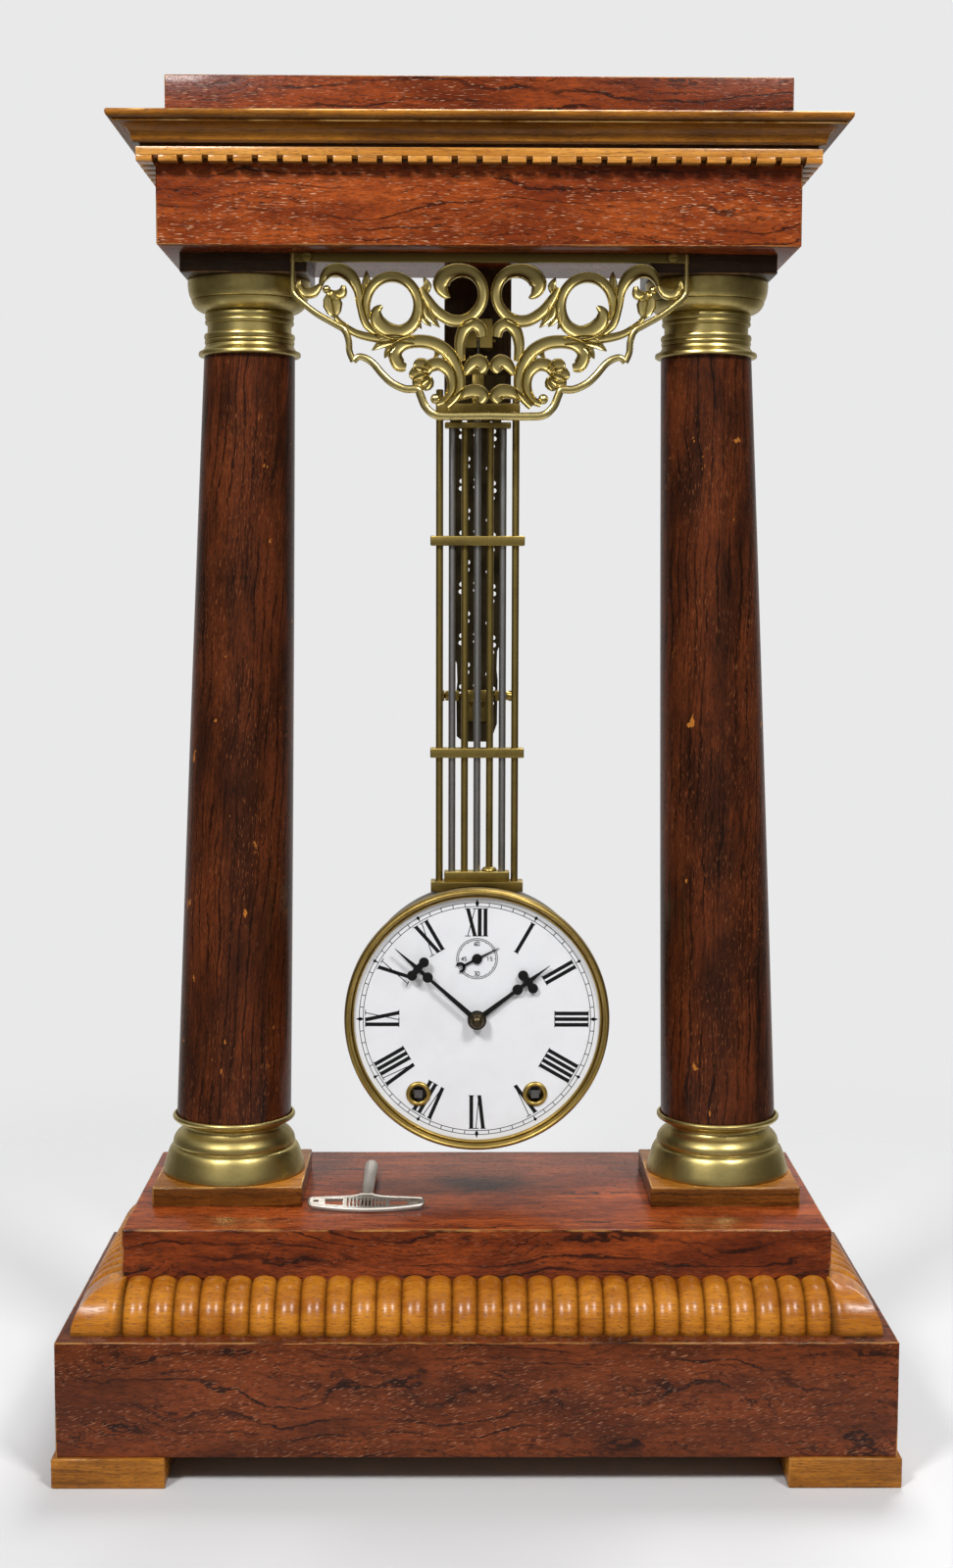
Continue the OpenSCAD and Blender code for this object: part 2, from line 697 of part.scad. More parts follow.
fret_vine = [[62.6, 30.8], [58, 33.2], [51, 34.6], [44, 36], [38, 35.6], [30, 35.4]];
fret_stem = [
  [35.5, 47.7], [38.6, 48], [40.4, 45.2], [40.6, 40.6], [38.6, 37.3], [34, 35.6], [28.4, 35.8],
  [22.9, 37.8], [17.8, 40.9], [13.3, 45.2], [11.3, 50.2], [12.3, 55.3], [15.8, 60.4], [21.4, 65]
];
fret_hook = [
  [23.1, 60.8], [19.8, 61.2], [16.2, 57.8], [15.2, 52.7], [17.1, 48.4], [20.9, 45.9], [25.4, 46.2],
  [28.2, 49.2], [29.4, 53], [30, 57]
];
fret_lobes = [
  [[14.2, 44], [14, 38], [12.8, 33], [10, 29], [6, 27.4], [2.2, 29.5], [1, 33], [3.6, 35.4]],
  [[12, 48.4], [8.4, 44.2], [4.4, 43], [1, 45], [1.6, 48.4]],
  [[12.6, 57.4], [8.6, 55.4], [4.4, 54.8], [1, 57], [1.6, 60.4]]
];
fret_steps = 4;
module fret_band_of(p, w, t) {
  linear_extrude(t) polygon(band(smooth(p, fret_steps), w));
}
module fret_half() {
  fret_band_of(fret_edge, fret_band, fret_t);
  fret_band_of(fret_ring, 3.2, fret_t - 0.3);
  fret_band_of(fret_heart, 3.3, fret_t - 0.4);
  fret_band_of(fret_arch, 2.6, fret_t - 0.5);
  fret_band_of(fret_curl, 2.2, fret_t - 0.6);
  fret_band_of(fret_vine, 2.2, fret_t - 0.7);
  fret_band_of(fret_stem, 3, fret_t - 0.8);
  fret_band_of(fret_hook, 3, fret_t - 0.9);
  for (i = [0:2]) fret_band_of(fret_lobes[i], 2.6, fret_t - 1 - 0.1 * i);
  // Flower bud on its stalk
  translate([66.1, 22.2, 0]) cylinder(h = fret_t - 0.2, r = 5.4);
}
module fret_screw_holes() {
  for (s = [-1, 1]) translate([fret_shift + s * (fret_half_w - 7), abacus_front + 6, soffit_z - 2.2])
    rotate([90, 0, 0]) cylinder(h = 20, r = 0.8 + seat_fit);
}
// Cast brass fret, hung flat against the fronts of the abacus blocks
module fret() {
  color("#9c8440")
  difference() {
    translate([fret_shift, abacus_front, soffit_z]) rotate([90, 0, 0]) scale([1, -1, 1]) {
      translate([-fret_half_w, 0, 0]) cube([2 * fret_half_w, 4.4, fret_t + 0.1]);
      fret_half();
      scale([-1, 1, 1]) fret_half();
    }
    fret_screw_holes();
  }
}

module case_screws() {
  fret_y = abacus_front - fret_t - 0.1;
  color("#b39a52") {
    for (s = [-1, 1]) translate([fret_shift + s * (fret_half_w - 7), 0, soffit_z - 2.2]) {
      translate([0, abacus_front + 5, 0]) rotate([90, 0, 0]) cylinder(h = 5 + fret_t + 0.1, r = 0.8);
      translate([0, fret_y, 0]) rotate([90, 0, 0])
        cylinder(h = screw_head_h, r1 = screw_head_r, r2 = screw_head_r - 0.7);
    }
    for (z = arm_screw_z) translate([0, 0, z]) {
      translate([0, board_y + board_screw_d, 0]) rotate([90, 0, 0])
        cylinder(h = board_screw_d + arm_t, r = board_screw_r);
      translate([0, board_y - arm_t, 0]) rotate([90, 0, 0])
        cylinder(h = screw_head_h, r = 2 * board_screw_r);
    }
  }
}

// Two screws hold the impulse arm to the board
board_screw_r = 1.2;
board_screw_d = 6;
screw_head_h = 1.2;
arm_top = soffit_z - board_h + 18;
arm_screw_z = [arm_top - 5, arm_top - 13];
module suspension_board() {
  color("#2b1a12")
  difference() {
    box(-board_w / 2, board_w / 2, board_y, board_y + board_t, soffit_z - board_h, soffit_z);
    for (z = arm_screw_z) translate([0, board_y + board_screw_d, z]) rotate([90, 0, 0])
      cylinder(h = 2 * board_screw_d, r = board_screw_r + seat_fit);
  }
}

// Brass cock on the board: two cheeks with a slot for the leaf, and the pin that the leaf hangs from
module suspension_cock() {
  half = 6;
  slot = leaf_t / 2 + 0.5;
  y0 = pend_y - leaf_w / 2 - 3;
  color("#9a7f3c") {
    difference() {
      box(-half, half, y0, board_y, swing_z - 4, swing_z + 8);
      box(-slot, slot, y0 - 1, pend_y + leaf_w / 2 + 1, swing_z - 5, swing_z + 9);
      translate([-half - 1, pend_y, swing_z]) rotate([0, 90, 0])
        cylinder(h = 2 * half + 2, r = pin_r + seat_fit);
    }
    translate([-half - 1.5, pend_y, swing_z]) rotate([0, 90, 0]) cylinder(h = 2 * half + 3, r = pin_r);
  }
}

// Pierced dark strip that hangs from the board and holds the crutch steady
module impulse_arm() {
  holes = floor((arm_top - 24 - arm_z) / 9);
  neck = 8;
  color("#33271c")
  translate([0, board_y, 0]) rotate([90, 0, 0]) linear_extrude(arm_t) difference() {
    polygon([
      [-arm_w / 2 + 3, arm_top], [-arm_w / 2, arm_top - 20], [-arm_w / 2, arm_top - 54],
      [-arm_w / 2 + 2, crutch_z + 22], [-arm_w / 2 + 2, arm_z + 6], [-neck / 2, arm_z],
      [neck / 2, arm_z], [arm_w / 2 - 2, arm_z + 6], [arm_w / 2 - 2, crutch_z + 22],
      [arm_w / 2, arm_top - 54], [arm_w / 2, arm_top - 20], [arm_w / 2 - 3, arm_top]
    ]);
    for (i = [2:holes], s = [-1, 1])
      translate([s * (6.4 + 1.4 * sin(i * 120)), arm_z + 8 + i * 9]) circle(r = 0.7);
    for (z = arm_screw_z) translate([0, z]) circle(r = board_screw_r + seat_fit);
  }
}

// Depths of the crutch's boss behind the rear plate
crutch_y0 = plate_rear_y + 1.5;
crutch_y1 = crutch_y0 + 2.2;
crutch_y = (crutch_y0 + crutch_y1) / 2;
crutch_pin_r = 0.8;
// Screw across the arm that shifts a forked carriage, which holds the crutch pin
beat_z = crutch_z + 7;
module beat_adjuster() {
  face = board_y - arm_t;
  fork_y = crutch_y + crutch_r + free_gap;
  screw_y = face - 2.6;
  lug_x = arm_w / 2 - 3;
  slot = crutch_pin_r + free_gap;
  color("#9a7f3c") {
    difference() {
      union() {
        box(-4.5, 4.5, screw_y - 2.4, face, beat_z - 2.6, beat_z + 2.6);
        box(-4.5, 4.5, fork_y, face, crutch_z - 4, beat_z);
      }
      box(-slot, slot, fork_y - 1, face + 1, crutch_z - 5, crutch_z + 3);
      translate([-6, screw_y, beat_z]) rotate([0, 90, 0]) cylinder(h = 12, r = 1.2 + seat_fit);
    }
    for (s = [-1, 1]) difference() {
      translate([s * lug_x, face - 2.2, beat_z]) cube([2, 4.4, 6], center = true);
      translate([s * lug_x - 3, screw_y, beat_z]) rotate([0, 90, 0]) cylinder(h = 6, r = 1.2 + seat_fit);
    }
    translate([-16, screw_y, beat_z]) rotate([0, 90, 0]) cylinder(h = 32, r = 1.2);
    translate([-16, screw_y, beat_z]) rotate([0, 90, 0]) cylinder(h = 4, r = 2.4);
    translate([12.5, screw_y, beat_z]) rotate([0, 90, 0]) cylinder(h = 3.5, r = 2.2);
  }
}

chop_top = swing_z - 7;
module suspension_spring() {
  color("#9aa0a4")
  difference() {
    box(-leaf_t / 2, leaf_t / 2, pend_y - leaf_w / 2, pend_y + leaf_w / 2, chop_top, swing_z + 4);
    translate([-2, pend_y, swing_z]) rotate([0, 90, 0]) cylinder(h = 4, r = pin_r + run_fit);
  }
}

top_bar_h = 5;
module pendulum_hook() {
  half = 3.3 * rod_pitch;
  y0 = pend_y - bar_d / 2;
  y1 = pend_y + bar_d / 2;
  low = grid_top_z - top_bar_h;
  color("#8d7440")
  difference() {
    union() {
      box(-4, 4, pend_y - leaf_w / 2, pend_y + leaf_w / 2, chop_top - 8, chop_top);
      box(-2.5, 2.5, y0, y1, grid_top_z - 1, chop_top - 7);
      box(-half, half, y0, y1, low, grid_top_z);
    }
    for (x = [-3, 0, 3]) translate([x * rod_pitch, pend_y, low - 1])
      cylinder(h = (x == 0 ? 1 + top_bar_h - 1.5 : top_bar_h + 2), r = rod_r + seat_fit);
  }
}

inner_top_z = grid_top_z - 10.4;
inner_bar_h = 2.4;
inner_low_h = 4.2;
yoke_half = 20;
yoke_bar_h = 4.4;
saddle_half = 17;
saddle_h = 1;
yoke_over = 2;
yoke_top = dial_z + drum_r + yoke_over;
rod_seat = 3;
inner_low_z = yoke_top;
spacer_hi_z = grid_top_z - spacer_hi_drop;
spacer_lo_z = yoke_top + spacer_lo_rise;
outer_top_z = grid_top_z + 6;
module rods(xs, z0, z1) {
  for (x = xs) translate([x * rod_pitch, pend_y, z0]) cylinder(h = z1 - z0, r = rod_r);
}
module brass_rods() {
  color("#8d7440") {
    rods([-3, 3], yoke_top - rod_seat, outer_top_z);
    rods([-1, 1], inner_low_z, inner_top_z + inner_bar_h);
  }
}
module steel_rods() {
  color("#83807a") {
    rods([-2, 2], inner_low_z, inner_top_z + inner_bar_h);
    rods([0], inner_low_z, grid_top_z - 1.5);
  }
}
module rod_bar(half, z0, h, xs) {
  difference() {
    box(-half, half, pend_y - bar_d / 2, pend_y + bar_d / 2, z0, z0 + h);
    for (x = xs) translate([x * rod_pitch, pend_y, z0 - 1]) cylinder(h = h + 2, r = rod_r + seat_fit);
  }
}
module gridiron_bars() {
  color("#8d7440") {
    rod_bar(2.6 * rod_pitch, inner_top_z, inner_bar_h, [-2:2]);
    rod_bar(2.6 * rod_pitch, inner_low_z, inner_low_h, [-2:2]);
    for (z = [spacer_hi_z, spacer_lo_z]) rod_bar(spacer_half, z, spacer_h, [-3:3]);
  }
}
// Bar on a saddle that fits the drum, with seats for the feet of the outer rods
module lower_yoke() {
  half_d = bar_d / 2 + 2;
  color("#8d7440")
  difference() {
    union() {
      box(-yoke_half, yoke_half, pend_y - half_d, pend_y + half_d, yoke_top - yoke_bar_h, yoke_top);
      box(-saddle_half, saddle_half, pend_y - half_d, pend_y + half_d,
          yoke_top - yoke_bar_h - saddle_h, yoke_top);
    }
    bar_y(p_centre, drum_r + seat_fit, pend_y - half_d - 1, pend_y + half_d + 1, $fn = 360);
    for (x = [-3, 3]) translate([x * rod_pitch, pend_y, yoke_top - rod_seat])
      cylinder(h = rod_seat + 1, r = rod_r + seat_fit);
  }
}

// Thin shell that steps in at the rear plate, with a slot in its top for the crutch
module drum_case() {
  front_y = dial_y + dial_t;
  slot_half = 5;
  slot_room = 1.5;
  color("#6b5a35")
  difference() {
    turned_y(p_centre, [
      [drum_in_r, front_y], [drum_r, front_y], [drum_r, plate_back_y], [rear_r, plate_back_y],
      [rear_r, drum_rear_y], [rear_in_r, drum_rear_y],
      [rear_in_r, plate_back_y - drum_wall], [drum_in_r, plate_back_y - drum_wall]
    ]);
    box(-slot_half, slot_half, crutch_y0 - slot_room, crutch_y1 + slot_room, dial_z, dial_z + drum_r);
  }
}
// Disc with a lip that fits inside the drum, and a ring of sound holes
module rear_cover() {
  cover_r = rear_r + 0.6;
  cover_t = 1.5;
  cover_y = drum_rear_y + cover_t;
  lip = 4;
  lip_r = rear_in_r - seat_fit;
  holes = 12;
  hole_r = 2;
  hole_ring_r = 36;
  color("#6b5a35")
  difference() {
    turned_y(p_centre, [[0, drum_rear_y], [cover_r, drum_rear_y], [cover_r, cover_y], [0, cover_y]]);
    for (i = [0:holes - 1])
      bar_y(polar(hole_ring_r, i * 360 / holes), hole_r, drum_rear_y - 1, cover_y + 1);
  }
  color("#6b5a35")
  turned_y(p_centre, [
    [lip_r - 1, drum_rear_y - lip], [lip_r, drum_rear_y - lip], [lip_r, drum_rear_y], [lip_r - 1, drum_rear_y]
  ]);
}
// Round brass ring that clips over the drum and holds the dial's edge
module bezel() {
  skirt = drum_r + seat_fit;
  lip = dial_y;
  color("#8f7638")
  turned_y(p_centre, concat(
    [[skirt, dial_y + 8], [skirt, lip], [dial_open_r, lip], [dial_open_r, lip - 1.2]],
    [for (a = [200:20:360]) [
      (dial_open_r + bezel_r) / 2 + (bezel_r - dial_open_r) / 2 * cos(a), lip - 1.6 + 2.6 * sin(a)
    ]],
    [[bezel_r, dial_y + 3], [skirt + 0.7, dial_y + 4], [skirt + 0.7, dial_y + 8]]
  ));
}
foot_spots = [for (a = [35, 155, 275]) polar(drum_in_r - 7, a)];
module dial() {
  color("#f2f1ec") {
    difference() {
      bar_y(p_centre, drum_r - 0.1, dial_y, dial_y + dial_t);
      bar_y(p_centre, 3.4, dial_y - 1, dial_y + 2);
      bar_y(p_seconds, arbor_r + free_gap, dial_y - 1, dial_y + 2);
      for (p = [p_going, p_strike]) bar_y(p, grommet_r + seat_fit, dial_y - 1, dial_y + 2);
    }
    for (p = foot_spots) bar_y(p, 1, dial_y + dial_t, plate_front_y + plate_t);
  }
}
// Brass rings in the winding holes, wide enough for the key's tube
grommet_r = 4.1;
grommet_in_r = key_tube_r + free_gap;
module winding_grommets() {
  color("#a08440")
  for (p = [p_going, p_strike]) turned_y(p, [
    [grommet_in_r, dial_y - 0.5], [4, dial_y - 1], [5, dial_y - 0.7], [5.3, dial_y], [grommet_r, dial_y],
    [grommet_r, dial_y + dial_t + 0.4], [grommet_in_r, dial_y + dial_t + 0.4]
  ]);
}

pillar_r = 2.2;
pillar_spots = [for (a = [5, 62, 142, 268]) polar(rear_in_r - pillar_r - 1, a)];
// Arbors whose thin pivots run in both plates
pivot_spots = [p_second, p_mid, p_third, p_seconds, p_escape, p_anchor, p_pin, p_fly, p_hammer];
module front_plate() {
  color("#b09448")
  difference() {
    bar_y(p_centre, drum_in_r - seat_fit, plate_front_y, train_y);
    for (p = [p_going, p_strike]) bar_y(p, wind_r + run_fit, plate_front_y - 1, train_y + 1);
    bar_y(p_centre, centre_r + run_fit, plate_front_y - 1, train_y + 1);
    for (p = pivot_spots) bar_y(p, arbor_r + run_fit, plate_front_y - 1, train_y + 1);
    for (p = foot_spots) bar_y(p, 1 + seat_fit, plate_front_y - 1, train_y + 1);
    bar_y(p_minute, 1 + seat_fit, plate_front_y - 1, train_y + 1);
  }
  // Stud that the minute wheel turns on
  color("#8f8f8c") bar_y(p_minute, 1, plate_front_y - 6.2, train_y);
}
// Rear plate with its pillars riveted in
module back_plate() {
  color("#b09448")
  difference() {
    union() {
      bar_y(p_centre, rear_in_r - seat_fit, plate_back_y, plate_rear_y);
      for (p = pillar_spots) bar_y(p, pillar_r, train_y, plate_back_y + 0.5);
    }
    for (p = concat([p_going, p_strike, p_centre], pivot_spots))
      bar_y(p, arbor_r + run_fit, plate_back_y - 1, plate_rear_y + 1);
  }
}
bell_y = plate_rear_y + 6;
module bell() {
  depth = 13;
  wall = 1.2;
  post = bell_y + depth - wall;
  stud_r = 1.5;
  bore_r = stud_r + seat_fit;
  crown_r = 2;
  color("#a9914f")
  turned_y(p_centre, concat(
    [[bell_r - wall, bell_y], [bell_r, bell_y]],
    [for (a = [0:15:75]) [crown_r + (bell_r - crown_r) * cos(a), bell_y + 1 + (depth - 1) * sin(a)]],
    [[crown_r, bell_y + depth], [bore_r, bell_y + depth], [bore_r, post]],
    [for (a = [75:-15:0]) [
      crown_r + (bell_r - crown_r - wall) * cos(a), bell_y + 1 + (depth - 1 - wall) * sin(a)
    ]]
  ));
  color("#8f8f8c") {
    bar_y(p_centre, stud_r, plate_rear_y, bell_y + depth + 2);
    bar_y(p_centre, 2.8, plate_rear_y, post - 0.1);
  }
}

// Spring drum with its great wheel; it turns on the winding arbor
module barrel(p, tilt) {
  s0 = 3.4;
  color("#b09448")
  difference() {
    union() {
      in_train(p, s_great, t_great) polygon(wheel_points(z_barrel, module_wind, tilt));
      bar_y(p, barrel_r, train_y + s0, train_y + s_great + 0.1);
    }
    bar_y(p, wind_r + run_fit, train_y, plate_back_y);
    difference() {
      bar_y(p, barrel_r - 1, train_y + s0 + 1, train_y + s_great - 1);
      bar_y(p, wind_r + 1.2, train_y, plate_back_y);
    }
  }
}
// Squared arbor with its ratchet wheel
module winding_arbor(p) {
  journal = train_y + s_great + t_great + 0.4;
  color("#8f8f8c") {
    bar_y(p, wind_r, dial_y + dial_t + 3, journal);
    bar_y(p, arbor_r, journal - 0.1, plate_rear_y);
    translate([p[0], dial_y + dial_t + 3.1, dial_z + p[1]]) rotate([90, 0, 0])
      linear_extrude(4.6) square(square_w, center = true);
    in_train(p, 0.6, 1.8) polygon([
      for (i = [0:z_ratchet - 1], k = [0, 1]) polar(k == 0 ? 7.6 : 6.6, (i + 0.08 * k) * 360 / z_ratchet)
    ]);
  }
}
module going_barrel() {
  barrel(p_going, t_going);
}
module strike_barrel() {
  barrel(p_strike, t_strike);
}
module going_arbor() {
  winding_arbor(p_going);
}
module strike_arbor() {
  winding_arbor(p_strike);
}

// An arbor with one wheel and one pinion, pivoted in both plates
module train_arbor(p, r, z_w, m_w, s_w, t_w, z_p, m_p, s_p, t_p) {
  r_body = min(r, arbor_r);
  color("#b09448") in_train(p, s_w, wheel_t) wheel(z_w, m_w, t_w, 3, r_body - 0.1);
  color("#8f8f8c") {
    in_train(p, s_p - leaf_over, wheel_t + 2 * leaf_over) polygon(pinion_points(z_p, m_p, t_p));
    bar_y(p, r_body, plate_front_y, plate_rear_y);
  }
}
module second_wheel() {
  train_arbor(p_second, arbor_r, z_mid, module_wind, s_second_wheel, t_second,
              z_pinion, module_wind, s_great + 0.4, t_second);
}
module intermediate_wheel() {
  train_arbor(p_mid, arbor_r, z_mid, module_wind, s_mid_wheel, t_mid,
              z_pinion, module_wind, s_second_wheel, t_mid);
}
module centre_wheel() {
  color("#b09448")
  in_train(p_centre, s_centre_wheel, wheel_t) wheel(z_centre, module_train, t_centre, 3, arbor_r);
  color("#8f8f8c") {
    in_train(p_centre, s_mid_wheel - leaf_over, wheel_t + 2 * leaf_over)
      polygon(pinion_points(z_pinion, module_wind, t_centre));
    bar_y(p_centre, centre_r, dial_y - 5, train_y + s_centre_wheel + 2);
    bar_y(p_centre, arbor_r, train_y + s_centre_wheel + 1, plate_rear_y);
  }
}
module third_wheel() {
  train_arbor(p_third, arbor_r, z_third, module_train, s_third_wheel, t_third,
              z_leaf, module_train, s_centre_wheel, t_third);
}
module seconds_wheel() {
  train_arbor(p_seconds, arbor_r, z_seconds, module_train, s_seconds_wheel, t_seconds,
              z_leaf, module_train, s_third_wheel, t_seconds);
  color("#8f8f8c") bar_y(p_seconds, arbor_r, dial_y - 1, train_y);
}
// Escape wheel with raked teeth
module escape_wheel() {
  color("#b09448")
  in_train(p_escape, s_escape_wheel, wheel_t) difference() {
    union() {
      difference() {
        polygon([
          for (i = [0:z_escape - 1], k = [0:2])
          polar([6.6, escape_r, 6.6][k], (i + [0, 0.42, 0.5][k]) * 360 / z_escape)
        ]);
        circle(r = 5.4);
      }
      spoked(5.9, 2.4, 3);
    }
    circle(r = arbor_r - 0.1);
  }
  color("#8f8f8c") {
    in_train(p_escape, s_seconds_wheel - leaf_over, wheel_t + 2 * leaf_over)
      polygon(pinion_points(z_escape_pinion, module_train, t_escape));
    bar_y(p_escape, arbor_r, plate_front_y, plate_rear_y);
  }
}

// Pallets, arbor, and the crutch that reaches up to the fixed fork
module anchor() {
  d = norm(p_anchor - p_escape);
  aim = heading(p_anchor, p_escape);
  arm = 7.4;
  nib = 2;
  // The pallets stand just clear of the tooth tips at the ends of the rocking
  reach = norm([arm, nib]);
  least = escape_r + free_gap;
  spread = acos((d * d + reach * reach - least * least) / (2 * d * reach)) + atan(nib / arm) + anchor_rock;
  color("#8f8f8c") {
    in_train(p_anchor, s_escape_wheel - 0.3, 1.8) difference() {
      union() {
        circle(r = 2.2);
        for (k = [-1, 1]) rotate(aim + k * spread) scale([1, k, 1])
          polygon([[0, -0.9], [arm - 1.4, -0.9], [arm - 1.2, -nib], [arm, -nib], [arm, 0.8], [0, 0.9]]);
      }
      circle(r = arbor_r - 0.1);
    }
    bar_y(p_anchor, arbor_r, plate_front_y, crutch_y1);
    bar_y(p_anchor, 2.4, crutch_y0, crutch_y1);
    translate([0, crutch_y, anchor_z + 1.7]) cylinder(h = crutch_len, r = crutch_r);
    translate([0, board_y - arm_t - free_gap, crutch_z]) rotate([90, 0, 0])
      cylinder(h = board_y - arm_t - free_gap - crutch_y, r = crutch_pin_r);
  }
}

// Pin wheel of the strike train; its pins lift the hammer tail
pin_ring_r = 9.8;
strike_pin_r = 0.5;
module pin_wheel() {
  train_arbor(p_pin, arbor_r, z_mid, module_wind, s_second_wheel, t_pin,
              z_pinion, module_wind, s_great + 0.4, t_pin);
  color("#8f8f8c")
  for (i = [0:7]) bar_y(p_pin + polar(pin_ring_r, heading(p_pin, p_hammer) + 22.5 + i * 45), strike_pin_r,
                        train_y + s_second_wheel + wheel_t - 0.2, train_y + s_second_wheel + wheel_t + 0.9);
}
// Air brake of the strike train
module fly() {
  color("#8f8f8c") {
    in_train(p_fly, s_second_wheel - leaf_over, wheel_t + 2 * leaf_over)
      polygon(pinion_points(z_pinion, module_wind, t_fly));
    bar_y(p_fly, arbor_r, plate_front_y, plate_rear_y);
  }
  color("#b09448")
  translate([p_fly[0], train_y + 10, dial_z + p_fly[1]]) rotate([0, 30, 0]) cube([15, 11, 1], center = true);
}
// Hammer on its arbor, with a tail between the plates and the head beside the bell
module hammer() {
  head_r = 3;
  p_head = polar(bell_r + head_r + 0.8, 166);
  aim = heading(p_hammer, p_head);
  len = norm(p_head - p_hammer);
  back = heading(p_hammer, p_pin);
  tail = norm(p_pin - p_hammer) - pin_ring_r - strike_pin_r - free_gap;
  color("#8f8f8c") {
    bar_y(p_hammer, arbor_r, plate_front_y, bell_y + 3);
    in_train(p_hammer, s_second_wheel + wheel_t + 0.5, 0.7)
      rotate(back) translate([0, -0.7]) square([tail, 1.4]);
    in_train(p_hammer, train_gap + plate_t + 2, 1.6) union() {
      circle(r = 2);
      rotate(aim) translate([0, -0.8]) square([len, 1.6]);
    }
    bar_y(p_head, head_r, plate_rear_y + 1.5, bell_y + 3.5);
  }
}

// Wheels between dial and front plate that turn the hands
motion_y0 = plate_front_y - 0.6;
cannon_pipe_r = 1.75;
module cannon_pinion() {
  color("#8f8f8c")
  difference() {
    union() {
      translate([0, motion_y0, dial_z]) rotate([90, 0, 0]) linear_extrude(2.2)
        polygon(pinion_points(z_cannon, module_motion, t_cannon));
      bar_y(p_centre, cannon_pipe_r, dial_y - 4, motion_y0);
    }
    bar_y(p_centre, centre_r + run_fit, dial_y - 8, plate_front_y + 1);
  }
}
module minute_wheel() {
  color("#b09448")
  difference() {
    union() {
      translate([p_minute[0], motion_y0 - 0.4, dial_z + p_minute[1]]) rotate([90, 0, 0]) linear_extrude(1.2)
        polygon(wheel_points(z_minute, module_motion, t_minute));
      translate([p_minute[0], motion_y0 - 0.4, dial_z + p_minute[1]]) rotate([90, 0, 0]) linear_extrude(4.6)
        polygon(pinion_points(z_minute_pinion, module_hour, t_minute));
    }
    bar_y(p_minute, 1 + run_fit, dial_y, train_y);
  }
}
hour_pipe_r = 2.7;
module hour_wheel() {
  y1 = motion_y0 - 3;
  color("#b09448")
  difference() {
    union() {
      translate([0, y1, dial_z]) rotate([90, 0, 0]) linear_extrude(1.2)
        polygon(wheel_points(z_hour, module_hour, t_hour));
      bar_y(p_centre, hour_pipe_r, dial_y - 2.2, y1);
    }
    bar_y(p_centre, cannon_pipe_r + run_fit, dial_y - 8, plate_front_y);
  }
}

// A tapered hand with a ball, a trefoil and a spike; drawn pointing up
module hand_shape(len, hub_r, bore_r) {
  w = 1.3;
  lobe = 0.75 * len;
  difference() {
    union() {
      circle(r = hub_r);
      polygon([[-w, 0], [w, 0], [0.55, lobe], [0, len], [-0.55, lobe]]);
      translate([0, 0.66 * len]) circle(r = 1.7);
      for (a = [-1, 1]) translate([a * 2.5, lobe - 0.6]) circle(r = 1.9);
      translate([0, lobe + 2.2]) circle(r = 2);
    }
    circle(r = bore_r);
  }
}
hour_v = 1.3;
minute_v = 3;
module hour_hand() {
  color("#141414") before_dial(p_centre, hour_v, hand_t)
    rotate(-hour_angle) hand_shape(hour_len, 4.2, hour_pipe_r + seat_fit);
}
module minute_hand() {
  color("#141414") before_dial(p_centre, minute_v, hand_t)
    rotate(-minute_angle) hand_shape(minute_len, 3.6, cannon_pipe_r + seat_fit);
}
module seconds_hand() {
  color("#141414") before_dial(p_seconds, 0.4, 0.45) rotate(-seconds_angle) difference() {
    union() {
      circle(r = 1.6);
      polygon([[-0.5, 0], [0.5, 0], [0.15, seconds_len], [-0.15, seconds_len]]);
      translate([-0.5, -7]) square([1, 7]);
      translate([0, -7.6]) circle(r = 1.5);
    }
    circle(r = arbor_r + seat_fit);
  }
}
module hand_nut() {
  y1 = dial_y - minute_v - hand_t - 0.3;
  color("#5a3a22")
  turned_y(p_centre, concat(
    [[centre_r + seat_fit, y1 - 1.2], [centre_r + seat_fit, y1], [3.3, y1], [3.5, y1 - 0.6]],
    [for (a = [0:18:90]) [3.3 * cos(a), y1 - 1.4 - 2.6 * sin(a)]],
    [[0, y1 - 1.2]]
  ));
}

// Pressed-steel winding key: a lens-shaped wing with two windows and a row of slits, on a folded tube
// that is narrow at the wing and has a square mouth
module winding_key() {
  wing_d = 14;
  wing_t = 3.5;
  wing_arc_r = (key_w * key_w / 4 + wing_d * wing_d / 4) / wing_d;
  neck_r = 2.2;
  neck_lap = 2;
  mouth = square_w + 2 * run_fit;
  mouth_d = 20;
  window = [9, 4.6];
  window_x = 15;
  slit = [0.8, 6];
  slit_pitch = 1.9;
  slits_each_side = 4;
  place = [-47, -25, step_top];
  color("#b5b3ad")
  translate(place) difference() {
    union() {
      translate([0, wing_d / 2, 0]) linear_extrude(wing_t) difference() {
        intersection_for (s = [-1, 1]) translate([0, s * (wing_arc_r - wing_d / 2)]) circle(r = wing_arc_r);
        for (s = [-1, 1]) translate([s * window_x, 0]) square(window, center = true);
        for (i = [-slits_each_side:slits_each_side])
          translate([i * slit_pitch, 0]) square(slit, center = true);
      }
      translate([0, wing_d - neck_lap, key_tube_r]) rotate([-90, 0, 0])
        cylinder(h = key_len - wing_d + neck_lap, r1 = neck_r, r2 = key_tube_r);
    }
    translate([-mouth / 2, key_len - mouth_d, key_tube_r - mouth / 2]) cube([mouth, mouth_d + 1, mouth]);
  }
}

